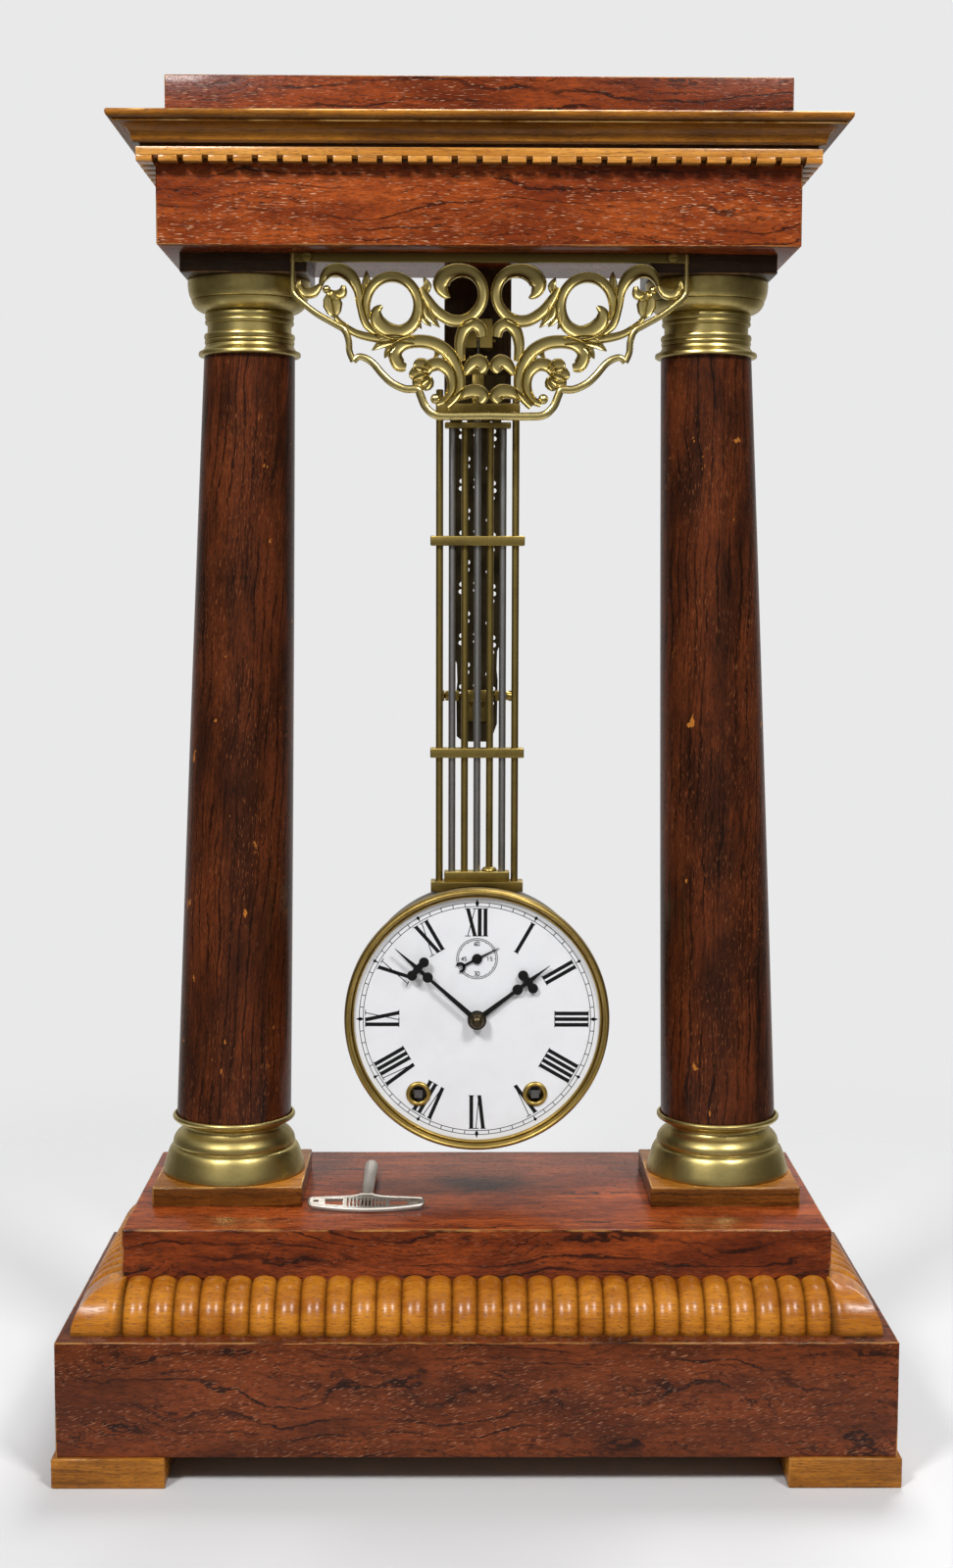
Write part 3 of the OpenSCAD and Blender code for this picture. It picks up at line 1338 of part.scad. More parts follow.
feet();
base_carcass();
base_floor();
gadroon_moulding();
upper_step();
column_plinths();
column_base_left();
column_base_right();
column_shaft_left();
column_shaft_right();
column_capital_left();
column_capital_right();
abacus_blocks();
tie_rods();
frieze_carcass();
dentil_course();
cornice();
top_block();
fret();
case_screws();
suspension_board();
suspension_cock();
impulse_arm();
beat_adjuster();
suspension_spring();
pendulum_hook();
brass_rods();
steel_rods();
gridiron_bars();
lower_yoke();
drum_case();
rear_cover();
bezel();
dial();
winding_grommets();
front_plate();
back_plate();
bell();
going_barrel();
going_arbor();
second_wheel();
intermediate_wheel();
centre_wheel();
third_wheel();
seconds_wheel();
seconds_hand();
escape_wheel();
anchor();
strike_barrel();
strike_arbor();
pin_wheel();
fly();
hammer();
cannon_pinion();
minute_wheel();
hour_wheel();
minute_hand();
hour_hand();
hand_nut();
winding_key();
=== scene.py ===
# %% Load the packed model
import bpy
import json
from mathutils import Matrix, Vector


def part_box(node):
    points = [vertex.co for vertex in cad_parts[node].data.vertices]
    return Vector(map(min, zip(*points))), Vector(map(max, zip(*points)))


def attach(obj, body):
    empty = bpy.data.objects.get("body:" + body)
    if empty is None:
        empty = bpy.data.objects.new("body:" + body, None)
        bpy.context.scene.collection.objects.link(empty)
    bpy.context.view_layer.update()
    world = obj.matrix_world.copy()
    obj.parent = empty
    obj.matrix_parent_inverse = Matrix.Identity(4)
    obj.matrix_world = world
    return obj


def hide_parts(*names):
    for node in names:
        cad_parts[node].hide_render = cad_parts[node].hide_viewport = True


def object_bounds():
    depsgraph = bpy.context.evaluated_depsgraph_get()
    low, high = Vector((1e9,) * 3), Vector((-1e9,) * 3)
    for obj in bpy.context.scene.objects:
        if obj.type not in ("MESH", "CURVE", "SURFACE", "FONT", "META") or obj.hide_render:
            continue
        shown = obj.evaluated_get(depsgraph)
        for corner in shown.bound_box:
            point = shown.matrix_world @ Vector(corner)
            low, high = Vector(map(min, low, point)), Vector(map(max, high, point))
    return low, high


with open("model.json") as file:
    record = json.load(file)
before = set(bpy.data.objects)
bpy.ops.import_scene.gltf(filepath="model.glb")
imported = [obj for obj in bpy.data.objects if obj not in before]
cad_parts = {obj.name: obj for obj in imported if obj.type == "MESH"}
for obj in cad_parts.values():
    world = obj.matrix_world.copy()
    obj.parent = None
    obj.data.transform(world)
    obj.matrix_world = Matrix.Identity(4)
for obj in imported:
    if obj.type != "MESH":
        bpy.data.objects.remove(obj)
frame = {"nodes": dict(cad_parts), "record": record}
cad_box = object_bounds()
print("the CAD box, in metres:", *(tuple(round(c, 4) for c in corner) for corner in cad_box))

# %% [markdown]
# A portico clock in wood and brass
# Two columns lean towards each other and carry a heavy top, and a drum clock hangs between them as
# the bob of its own pendulum. The CAD model gives every part its size and its joint. In this lesson
# each visible part gets the rounded edges, carving, grain and patina that it has on the real object.

# %% Imports and units
import json
import math

import bmesh
import bpy
from mathutils import Matrix, Vector

MM = 0.001  # the frame is in metres, and the pieces here are drawn in millimetres
bpy.context.scene.view_settings.view_transform = "Standard"
print("one unit of drawing is", MM, "m")

# %% [markdown]
# Reading places from the frame
# A new piece has to sit exactly where its CAD node sits. One way is to copy numbers by hand, but then
# a change in the CAD breaks the looks. Here the box of a node, and of each separate solid in it, is
# read from the frame, so most pieces find their own place.


# %% Boxes of nodes and of their solids
def node_box(node):
    """The lowest and highest corner of a CAD node, in millimetres."""
    low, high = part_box(node)
    return low / MM, high / MM


def middle(node):
    """The centre of a CAD node's box, in millimetres."""
    low, high = node_box(node)
    return (low + high) / 2


def solid_boxes(node):
    """The box of each separate solid of a node, from left to right and from bottom to top."""
    mesh = frame["nodes"][node].data
    spots = {}
    index = [spots.setdefault(tuple(round(c, 6) for c in v.co), len(spots)) for v in mesh.vertices]
    owner = list(range(len(spots)))

    def root(i):
        while owner[i] != i:
            owner[i] = owner[owner[i]]
            i = owner[i]
        return i

    for polygon in mesh.polygons:
        corners = [index[v] for v in polygon.vertices]
        for corner in corners[1:]:
            owner[root(corner)] = root(corners[0])
    groups = {}
    for spot, i in spots.items():
        groups.setdefault(root(i), []).append(spot)
    boxes = [
        (Vector(map(min, zip(*g))) / MM, Vector(map(max, zip(*g))) / MM) for g in groups.values()
    ]
    return sorted(boxes, key=lambda b: (round(b[0].x, 1), round(b[0].z, 1), round(b[0].y, 1)))


print("feet:", len(solid_boxes("feet")), "rods:", len(solid_boxes("brass_rods")))

# %% [markdown]
# Wiring nodes in short lines
# Every finish is a tree of shader nodes. Node trees can be drawn with the mouse, but a script that
# others can read needs few words for each node. This small class adds a node, feeds its sockets with
# numbers, colours or other sockets, and hands back the socket that the next node uses.


# %% A small helper for node trees
class Net:
    """A node tree that is wired with short calls; a value is a number, a colour or a socket."""

    def __init__(self, tree):
        self.tree = tree

    def feed(self, socket, value):
        if isinstance(value, bpy.types.NodeSocket):
            self.tree.links.new(value, socket)
        else:
            socket.default_value = value

    def node(self, kind, inputs=None, **settings):
        made = self.tree.nodes.new(kind)
        for key, value in settings.items():
            setattr(made, key, value)
        for key, value in (inputs or {}).items():
            self.feed(made.inputs[key], value)
        return made

    def math(self, operation, a, b=0.0):
        return self.node("ShaderNodeMath", {0: a, 1: b}, operation=operation).outputs[0]

    def plus(self, a, b):
        return self.math("ADD", a, b)

    def minus(self, a, b):
        return self.math("SUBTRACT", a, b)

    def times(self, a, b):
        return self.math("MULTIPLY", a, b)

    def larger(self, a, b):
        return self.math("MAXIMUM", a, b)

    def place(self):
        return self.node("ShaderNodeTexCoord").outputs["Object"]

    def stretch(self, vector, scale):
        made = self.node("ShaderNodeVectorMath", {0: vector, 1: scale}, operation="MULTIPLY")
        return made.outputs[0]

    def noise(self, vector, scale=1.0, detail=2.0, rough=0.5):
        inputs = {"Vector": vector, "Scale": scale, "Detail": detail, "Roughness": rough}
        return self.node("ShaderNodeTexNoise", inputs).outputs[0]

    def fade(self, value, start, end, low=0.0, high=1.0):
        inputs = {"Value": value, 1: start, 2: end, 3: low, 4: high}
        made = self.node("ShaderNodeMapRange", inputs, interpolation_type="SMOOTHSTEP")
        return made.outputs["Result"]

    def mix(self, factor, a, b):
        made = self.node("ShaderNodeMix", data_type="RGBA")
        for place, value in ((0, factor), (6, a), (7, b)):
            self.feed(made.inputs[place], value)
        return made.outputs[2]

    def attribute(self, name):
        return self.node("ShaderNodeAttribute", attribute_name=name).outputs["Fac"]


print("short calls:", ", ".join(name for name in vars(Net) if not name.startswith("_")))


# %% Node groups and colours
def node_group(name, inputs, outputs):
    """A new shader node group, with its net, its input sockets and its output node."""
    group = bpy.data.node_groups.new(name, "ShaderNodeTree")
    for label, kind, value in inputs:
        socket = group.interface.new_socket(label, in_out="INPUT", socket_type="NodeSocket" + kind)
        if value is not None:
            socket.default_value = value
    for label, kind in outputs:
        group.interface.new_socket(label, in_out="OUTPUT", socket_type="NodeSocket" + kind)
    net = Net(group)
    return net, net.node("NodeGroupInput").outputs, net.node("NodeGroupOutput").inputs


def srgb(red, green, blue):
    """A colour as it is read off a screen, from 0 to 255, as the linear colour that Blender uses."""
    def linear(c):
        c /= 255
        return c / 12.92 if c <= 0.04045 else ((c + 0.055) / 1.055) ** 2.4
    return linear(red), linear(green), linear(blue), 1.0


print("honey in linear light:", [round(c, 3) for c in srgb(190, 120, 35)])

# %% [markdown]
# Wood grain as a node group
# The case is veneered with a wild, wavy red wood, and its mouldings are a plainer honey wood. Photos
# of veneer could be wrapped round the boxes, but procedural grain has no seams and stays sharp. The
# dark figure lines are contour lines of a slow noise that is tilted along the grain; finer noises,
# stretched a lot along the grain, give the fibres and the short open pores. Pale dashes in patches are
# painted glints of the lacquer, a painted highlight in the colour, and a few nicks show the raw wood under
# it.

# %% The inputs of the Wood Figure group
net, given, give = node_group(
    "Wood Figure",
    [
        ("Vector", "Vector", None),
        ("Light", "Color", srgb(170, 80, 40)),
        ("Dark", "Color", srgb(130, 50, 26)),
        ("Vein", "Color", srgb(60, 24, 18)),
        ("Spacing", "Float", 70.0),
        ("Waviness", "Float", 3.0),
        ("Vein Amount", "Float", 0.8),
        ("Vein Width", "Float", 0.12),
        ("Mottle", "Float", 0.3),
        ("Pores", "Float", 0.5),
        ("Flecks", "Float", 0.2),
        ("Fleck Slant", "Float", 0.0),
        ("Fleck Color", "Color", srgb(214, 164, 128)),
        ("Nicks", "Float", 0.0),
        ("Nick Color", "Color", srgb(190, 118, 48)),
    ],
    [("Color", "Color"), ("Roughness", "Float"), ("Height", "Float")],
)
grain = given["Vector"]
spread = net.node("ShaderNodeSeparateXYZ", {0: grain}).outputs
print(net.tree.name, "starts with", len(net.tree.nodes), "nodes")

# %% Dark figure lines
# A scale is the number of noise cells in a metre along the grain and across it; its third number
# counts only for wood without a grain map
SLOW, WAVY, RAGGED = (11, 26, 1), (50, 120, 1), (190, 480, 1)
LINE_PATCH, FINE_PATCH = (24, 60, 3), (30, 80, 8)
WAVY_SHARE, RAGGED_SHARE = 0.8, 0.42
FINE_RATE = 2.7  # how many fine lines run for each main line


def grain_noise(scale, detail=2.0, rough=0.5):
    """Noise that is stretched along the grain."""
    return net.noise(net.stretch(grain, scale), detail=detail, rough=rough)


def contour(field):
    """Thin lines where a field lies halfway between whole numbers."""
    off_line = net.math("ABSOLUTE", net.minus(net.math("FRACT", field), 0.5))
    return net.fade(net.minus(1.0, net.math("DIVIDE", off_line, given["Vein Width"])), 0.0, 0.7)


tilted = net.times(spread["Y"], given["Spacing"])
tilted = net.plus(tilted, net.times(grain_noise(SLOW), given["Waviness"]))
tilted = net.plus(tilted, net.times(grain_noise(WAVY), WAVY_SHARE))
tilted = net.plus(tilted, net.times(grain_noise(RAGGED, rough=0.6), RAGGED_SHARE))
main_lines = net.times(contour(tilted), net.fade(grain_noise(LINE_PATCH), 0.36, 0.6))
fine_patches = net.fade(grain_noise(FINE_PATCH), 0.38, 0.6, 0.0, 0.8)
fine_lines = net.times(contour(net.times(tilted, FINE_RATE)), fine_patches)
vein = net.times(net.larger(main_lines, fine_lines), given["Vein Amount"])
print("with its lines it has", len(net.tree.nodes), "nodes")

# %% Tone, fibres and pores
CLOUD, MOTTLE, FIBRE, DASH = (16, 60, 1), (130, 420, 1), (55, 1300, 1), (380, 1700, 1)
clouds = net.fade(grain_noise(CLOUD, 5.0, 0.7), 0.36, 0.64)
mottle = net.fade(grain_noise(MOTTLE, 3.0, 0.65), 0.42, 0.72)
fibres = grain_noise(FIBRE, rough=0.6)
pores = net.times(net.fade(grain_noise(DASH, 1.0), 0.56, 0.68), given["Pores"])
tone = net.mix(clouds, given["Light"], given["Dark"])
tone = net.mix(net.times(mottle, given["Mottle"]), tone, given["Vein"])
tone = net.mix(net.fade(fibres, 0.35, 0.75, 0.0, 0.5), tone, given["Dark"])
for mask in (vein, pores):
    tone = net.mix(mask, tone, given["Vein"])
print("with its tone it has", len(net.tree.nodes), "nodes")

# %% Painted glints, nicks and what the group gives
GLINT, GLINT_PATCH, CHIP = (260, 2100, 7), (20, 40, 5), (75, 130, 9)
WOOD_ROUGH, PORE_ROUGH = 0.22, 0.25
FIBRE_RELIEF, VEIN_RELIEF = 0.3, 0.15
# Short pale dashes in patches are painted glints: a painted highlight of the lacquer, mixed into the colour
leaning = net.plus(spread["X"], net.times(spread["Y"], given["Fleck Slant"]))
rising = net.minus(spread["Y"], net.times(spread["X"], given["Fleck Slant"]))
slanted = net.node("ShaderNodeCombineXYZ", {0: leaning, 1: rising}).outputs[0]
glint_dashes = net.fade(net.noise(net.stretch(slanted, GLINT), detail=1.0), 0.62, 0.71)
glint_patches = net.fade(grain_noise(GLINT_PATCH), 0.38, 0.58)
painted_glints = net.times(net.times(glint_dashes, glint_patches), given["Flecks"])
chips = net.fade(grain_noise(CHIP, 4.0, 0.6), 0.68, 0.71)
tone = net.mix(painted_glints, tone, given["Fleck Color"])
tone = net.mix(net.times(chips, given["Nicks"]), tone, given["Nick Color"])
rough = net.plus(net.times(pores, PORE_ROUGH), WOOD_ROUGH)
relief = net.minus(net.times(fibres, FIBRE_RELIEF), pores)
net.feed(give["Color"], tone)
net.feed(give["Roughness"], net.plus(rough, net.fade(fibres, 0.3, 0.8, 0.0, 0.1)))
net.feed(give["Height"], net.minus(relief, net.times(vein, VEIN_RELIEF)))
wood_figure = net.tree
print(wood_figure.name, "has", len(wood_figure.nodes), "nodes")

# %% [markdown]
# Wear and painted shade as a node group
# Polished edges rub through to pale golden wood, and grooves, gaps and undersides are darkened with
# painted shade. Some finishes paint their rubbed edges pale enough to stand as highlights too. Blender can
# guess edges with the Pointiness output, but that needs dense meshes. The meshes here carry two marks of
# their
# own: edge, which is 1 on rounded edges, and hollow, which rises to 1 in grooves and other places of painted
# shade.

# %% The Edge Wear and Painted Shade group
RUB_PATCH = (45, 45, 45)
net, given, give = node_group(
    "Edge Wear and Painted Shade",
    [
        ("Vector", "Vector", None),
        ("Color", "Color", srgb(150, 70, 40)),
        ("Wear and Highlight", "Color", srgb(205, 150, 80)),
        ("Painted Shade", "Color", srgb(30, 18, 10)),
        ("Wear Amount", "Float", 0.7),
        ("Shade Amount", "Float", 0.8),
    ],
    [("Color", "Color")],
)
patchy = net.noise(net.stretch(given["Vector"], RUB_PATCH), detail=3.0, rough=0.6)
highlight_and_wear_mask = net.times(net.attribute("edge"), net.fade(patchy, 0.42, 0.6))
highlight_and_wear_mask = net.times(highlight_and_wear_mask, given["Wear Amount"])
# The hollow mark paints shade: grooves, gaps and undersides darken towards the shade colour
painted_shade = net.times(net.attribute("hollow"), given["Shade Amount"])
shaded = net.mix(painted_shade, given["Color"], given["Painted Shade"])
net.feed(give["Color"], net.mix(highlight_and_wear_mask, shaded, given["Wear and Highlight"]))
wear_and_shade = net.tree
print(wear_and_shade.name, "has", len(wear_and_shade.nodes), "nodes")

# %% [markdown]
# Tarnish as a node group
# Old brass is bright where fingers and cloths reach it and olive or brown where they do not. A single
# colour with a single roughness looks like plastic. The group mixes a bright and a tarnished colour
# by a cloudy noise and by the hollow mark, and roughens the tarnished places.

# %% The Metal Patina group
TARNISH_CLOUD, TARNISH_SPOT = (60, 60, 60), (420, 420, 420)
HOLLOW_TARNISH, TARNISH_ROUGH, BRUSH_ROUGH, SPOT_RELIEF = 0.9, 0.2, 0.1, 0.5
net, given, give = node_group(
    "Metal Patina",
    [
        ("Vector", "Vector", None),
        ("Bright", "Color", srgb(205, 180, 105)),
        ("Tarnish", "Color", srgb(120, 100, 52)),
        ("Tarnish Amount", "Float", 0.5),
        ("Polish", "Float", 0.26),
        ("Spot Amount", "Float", 0.3),
        ("Line Stretch", "Vector", (300.0, 300.0, 1800.0)),
    ],
    [("Color", "Color"), ("Roughness", "Float"), ("Height", "Float")],
)
clouds = net.noise(net.stretch(given["Vector"], TARNISH_CLOUD), detail=5.0, rough=0.65)
brushed = net.noise(net.stretch(given["Vector"], given["Line Stretch"]))
spots = net.fade(net.noise(net.stretch(given["Vector"], TARNISH_SPOT), detail=1.0), 0.62, 0.72)
dull = net.times(net.fade(clouds, 0.35, 0.7), given["Tarnish Amount"])
dull = net.larger(dull, net.times(net.attribute("hollow"), HOLLOW_TARNISH))
dull = net.larger(dull, net.times(spots, given["Spot Amount"]))
rough = net.plus(given["Polish"], net.times(dull, TARNISH_ROUGH))
net.feed(give["Color"], net.mix(dull, given["Bright"], given["Tarnish"]))
net.feed(give["Roughness"], net.plus(rough, net.times(brushed, BRUSH_ROUGH)))
net.feed(give["Height"], net.minus(brushed, net.times(spots, SPOT_RELIEF)))
metal_patina = net.tree
print(metal_patina.name, "has", len(metal_patina.nodes), "nodes")

# %% [markdown]
# From groups to finishes
# A finish is a Principled shader with one or two groups in front of it. Lacquer on the wood is a thin
# clear coat, and its weight and roughness are the same all over, so they are set on the shader itself.
# Wood reads the grain map of its mesh, so that the grain follows each board; metal reads the place in
# the object, because it has no grain to follow.

# %% A finish and what it is fed with
FINISH = {}


def spaced(values):
    """Keyword names as socket labels, with spaces for underscores."""
    return {key.replace("_", " "): value for key, value in values.items()}


def new_finish(name, **constants):
    """A material with a Principled shader, whose constant sockets are set by name."""
    material = bpy.data.materials.new(name)
    material.use_nodes = True
    shader = material.node_tree.nodes["Principled BSDF"]
    for label, value in spaced(constants).items():
        shader.inputs[label].default_value = value
    FINISH[name] = material
    return Net(material.node_tree), shader


def dress(net, shader, color, surface, strength, depth):
    """Feeds the shader with a colour, and with the roughness and the relief of a surface group."""
    inputs = {"Height": surface.outputs["Height"], "Strength": strength, "Distance": depth}
    net.feed(shader.inputs["Base Color"], color)
    net.feed(shader.inputs["Roughness"], surface.outputs["Roughness"])
    net.feed(shader.inputs["Normal"], net.node("ShaderNodeBump", inputs).outputs["Normal"])


print("groups for the finishes:", ", ".join(g.name for g in (wood_figure, wear_and_shade, metal_patina)))

# %% The veneers
GRAIN_BUMP, GRAIN_DEPTH = 0.45, 0.2 * MM


def wood_finish(name, light, dark, vein, coat=0.15, coat_rough=0.08, gloss=0.1, wear=0.7,
                wear_and_highlight=srgb(205, 150, 80), mapped=True, **figure):
    """Lacquered wood; figure gives inputs of the Wood Figure group by name, and wood without a
    grain map reads the place in the object."""
    net, shader = new_finish(name, Coat_Weight=coat, Coat_Roughness=coat_rough, Specular_IOR_Level=gloss)
    vector = net.node("ShaderNodeUVMap", uv_map="grain").outputs[0] if mapped else net.place()
    inputs = {"Vector": vector, "Light": light, "Dark": dark, "Vein": vein, **spaced(figure)}
    wood = net.node("ShaderNodeGroup", inputs, node_tree=wood_figure)
    inputs = {"Vector": vector, "Color": wood.outputs["Color"], "Wear Amount": wear, "Wear and Highlight": wear_and_highlight}
    age = net.node("ShaderNodeGroup", inputs, node_tree=wear_and_shade)
    dress(net, shader, age.outputs["Color"], wood, GRAIN_BUMP, GRAIN_DEPTH)


VENEER = dict(Waviness=6.0, Vein_Amount=0.85, Pores=0.5, wear=0.5)
RED_SHEET = dict(light=srgb(180, 86, 34), dark=srgb(120, 48, 18), vein=srgb(34, 13, 8), Spacing=150.0,
                 Vein_Width=0.085, Mottle=0.5)
DEEP_SHEET = dict(light=srgb(148, 67, 26), dark=srgb(96, 38, 14), vein=srgb(24, 10, 7), Spacing=150.0,
                  Vein_Width=0.12, Mottle=0.45)
# veneer_lit_top is the red sheet with few glints, a lighter copy for the step's top than its deep front:
# painted light from above
for name, sheet, painted_glints in (("veneer_red", RED_SHEET, 0.9), ("veneer_lit_top", RED_SHEET, 0.15),
                            ("veneer_deep", DEEP_SHEET, 0.15), ("veneer_cap", DEEP_SHEET, 0.5)):
    wood_finish(name, Flecks=painted_glints, **sheet, **VENEER)
wood_finish("veneer_dark", srgb(126, 60, 27), srgb(84, 38, 16), srgb(22, 10, 7), Spacing=80.0,
            Vein_Width=0.1, Mottle=0.5, Flecks=0.75, Fleck_Slant=0.3, Fleck_Color=srgb(180, 122, 90),
            **VENEER)
print("veneers:", sorted(FINISH))

# %% The solid woods
PLAIN = dict(Waviness=3.0, Vein_Width=0.2, Pores=0.5, Flecks=0.0)
HONEY_DEEP = dict(light=srgb(190, 122, 40), dark=srgb(140, 84, 22), vein=srgb(70, 38, 12), Spacing=260.0,
                  Vein_Amount=0.4, Mottle=0.2, coat_rough=0.14, gloss=0.15)
# The pale rubbed edges of honey_deep are wear and, on the cornice's nose and fillet, painted highlights too
wood_finish("honey_deep", wear=0.85, wear_and_highlight=srgb(240, 192, 116), **HONEY_DEEP, **PLAIN)
wood_finish("foot_wood", wear=0.25, **HONEY_DEEP, **PLAIN)
wood_finish("honey_wood", srgb(208, 134, 38), srgb(162, 92, 18), srgb(96, 50, 12), Spacing=420.0,
            Vein_Amount=0.16, Mottle=0.1, coat=0.3, coat_rough=0.27, gloss=0.22, wear=0.3, **PLAIN)
wood_finish("golden_wood", srgb(230, 164, 78), srgb(190, 122, 44), srgb(112, 66, 20), Spacing=300.0,
            Vein_Amount=0.4, Mottle=0.2, coat=0.25, coat_rough=0.14, gloss=0.2, wear=0.6, **PLAIN)
wood_finish("plinth_wood", srgb(136, 79, 30), srgb(94, 54, 19), srgb(52, 28, 11), Spacing=220.0,
            Vein_Amount=0.6, Mottle=0.2, wear=0.4, **PLAIN)
wood_finish("column_wood", srgb(104, 50, 25), srgb(54, 26, 14), srgb(16, 8, 5), Spacing=210.0,
            Vein_Width=0.14, Flecks=0.5, Fleck_Color=srgb(160, 96, 56), Nicks=0.85)
wood_finish("dark_wood", srgb(76, 54, 38), srgb(54, 38, 26), srgb(26, 17, 12), Spacing=200.0,
            Waviness=2.0, Vein_Amount=0.5, Pores=0.4, Flecks=0.0, wear=0.35)
wood_finish("plain_wood", srgb(158, 118, 74), srgb(126, 90, 54), srgb(92, 62, 36), coat=0.0, mapped=False,
            Spacing=160.0, Waviness=2.0, Vein_Amount=0.5, Flecks=0.0)
print("with the solid woods:", len(FINISH), "finishes")

# %% The metal finishes
BRUSH_DEPTH = 0.1 * MM
METALS = {
    # bright and tarnished colour, share of tarnish, roughness where it is polished, brush marks in a
    # metre along X, Y and Z, relief, and the share of spots where it isn't the usual one
    "satin_brass": ((208, 190, 124), (122, 104, 54), 0.6, 0.25, (300, 300, 1800), 0.04),
    "fret_brass": ((226, 208, 140), (104, 86, 38), 0.3, 0.2, (900, 900, 900), 0.02),
    "aged_brass": ((170, 148, 84), (90, 76, 40), 0.7, 0.28, (1500, 1500, 200), 0.06),
    "bezel_brass": ((178, 152, 84), (118, 94, 42), 0.5, 0.3, (9, 9, 9), 0.0, 0.0),
    "dark_bronze": ((98, 86, 64), (42, 37, 29), 0.7, 0.24, (900, 900, 900), 0.03),
    "clock_brass": ((220, 192, 112), (146, 118, 62), 0.4, 0.24, (700, 700, 700), 0.05),
    "rod_steel": ((176, 177, 178), (104, 101, 98), 0.6, 0.28, (1500, 1500, 150), 0.06),
    "arbor_steel": ((124, 122, 120), (72, 68, 64), 0.5, 0.28, (900, 900, 900), 0.05),
    "key_nickel": ((206, 200, 192), (138, 126, 110), 0.45, 0.36, (500, 1500, 500), 0.03),
}


def metal_finish(name, bright, tarnish, amount, polish, lines, relief, spots=0.3):
    """Bare metal with patina; lines says in which direction the fine brush marks run."""
    net, shader = new_finish(name, Metallic=1.0)
    inputs = {"Vector": net.place(), "Bright": srgb(*bright), "Tarnish": srgb(*tarnish),
              "Tarnish Amount": amount, "Polish": polish, "Spot Amount": spots, "Line Stretch": lines}
    patina = net.node("ShaderNodeGroup", inputs, node_tree=metal_patina)
    dress(net, shader, patina.outputs["Color"], patina, relief, BRUSH_DEPTH)


for name, values in METALS.items():
    metal_finish(name, *values)
print("with the metals:", len(FINISH), "finishes")

# %% [markdown]
# Enamel and blacked steel
# The dial is fired white enamel, which is never quite even, and the hands are blued almost to black.
# Both could be flat colours, but a faint cloud in the white and a fine grain in the black keep them
# from looking like paper.

# %% Enamel and blacked steel
net, shader = new_finish("dial_enamel", Coat_Weight=0.5, Coat_Roughness=0.08)
cloud = net.fade(net.noise(net.place(), 45.0, 4.0, 0.6), 0.35, 0.7)
net.feed(shader.inputs["Base Color"], net.mix(cloud, srgb(236, 237, 240), srgb(229, 230, 233)))
net.feed(shader.inputs["Roughness"], net.fade(cloud, 0.0, 1.0, 0.3, 0.4))
net, shader = new_finish("black_steel", Specular_IOR_Level=0.2)
dust = net.noise(net.place(), 900.0, 3.0, 0.6)
net.feed(shader.inputs["Base Color"], net.mix(dust, srgb(8, 8, 9), srgb(22, 21, 21)))
net.feed(shader.inputs["Roughness"], net.fade(dust, 0.3, 0.7, 0.38, 0.5))
print("all finishes:", len(FINISH))

# %% Finishes on the CAD nodes that stay
for subpart in frame["record"]["subparts"]:
    node = frame["nodes"][subpart["node"]]
    node.data.materials.clear()
    node.data.materials.append(FINISH[subpart["material_slot"]])

# %% [markdown]
# Shapes that become pieces
# Every piece below is drawn in mesh code: a list of points, a list of faces, and the marks that the
# finishes read. Sculpting or modelling by hand would do as well, but drawn shapes can follow the sizes
# of the frame. One class collects the points and faces, and one function hangs the finished mesh on
# its CAD body and hides the node that it stands for.


# %% The collector of points and faces
class Shape:
    """Closed forms, in millimetres, that become one mesh."""

    def __init__(self):
        self.points, self.faces = [], []
        self.grain, self.edge, self.hollow = [], [], []

    def add(self, points, faces, grain=None, edge=None, hollow=None):
        """Grain holds a pair for each corner of each face, edge a value for each face, and hollow
        a value for each point."""
        first = len(self.points)
        self.points += [Vector(p) for p in points]
        self.hollow += hollow or [0.0] * len(points)
        for i, face in enumerate(faces):
            self.faces.append([first + k for k in face])
            self.grain += grain[i] if grain else [(0.0, 0.0)] * len(face)
            self.edge += [edge[i] if edge else 0.0] * len(face)

    def mesh(self, name, sharp):
        """The mesh with its grain map and marks, smooth where faces meet at less than sharp degrees."""
        mesh = bpy.data.meshes.new(name)
        mesh.from_pydata([p * MM for p in self.points], [], self.faces)
        mesh.uv_layers.new(name="grain").data.foreach_set(
            "uv", [c * MM for pair in self.grain for c in pair])
        mesh.attributes.new("edge", "FLOAT", "CORNER").data.foreach_set("value", self.edge)
        mesh.attributes.new("hollow", "FLOAT", "POINT").data.foreach_set("value", self.hollow)
        bm = bmesh.new()
        bm.from_mesh(mesh)
        bmesh.ops.recalc_face_normals(bm, faces=bm.faces)
        bm.to_mesh(mesh)
        bm.free()
        mesh.shade_smooth()
        mesh.set_sharp_from_angle(angle=math.radians(sharp))
        return mesh


print("a shape collects:", ", ".join(vars(Shape())))

# %% The hand-over of a piece
UPWARD = 0.9  # a face looks up where its normal rises by more than this


def paint_lit_top(piece, finish):
    """Gives the faces that look up a lighter finish: painted light from above."""
    piece.data.materials.append(FINISH[finish])
    for polygon in piece.data.polygons:
        if polygon.normal.z > UPWARD:
            polygon.material_index = 1


def hang(shape, name, body, slot, *nodes, sharp=32, finish=None, top=None):
    """Makes the piece, hangs it on its body and hides the CAD nodes that it stands for; finish is
    given where the piece has another one than the slot's own, and top where the faces that look up have a
    lighter one, painted light from above."""
    piece = bpy.data.objects.new(name, shape.mesh(name, sharp))
    bpy.context.scene.collection.objects.link(piece)
    piece.data.materials.append(FINISH[finish or slot])
    if top:
        paint_lit_top(piece, top)
    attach(piece, body)
    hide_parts(*nodes)
    print(name, "for", ", ".join(nodes) or "no node", "with", len(shape.faces), "faces")
    return piece


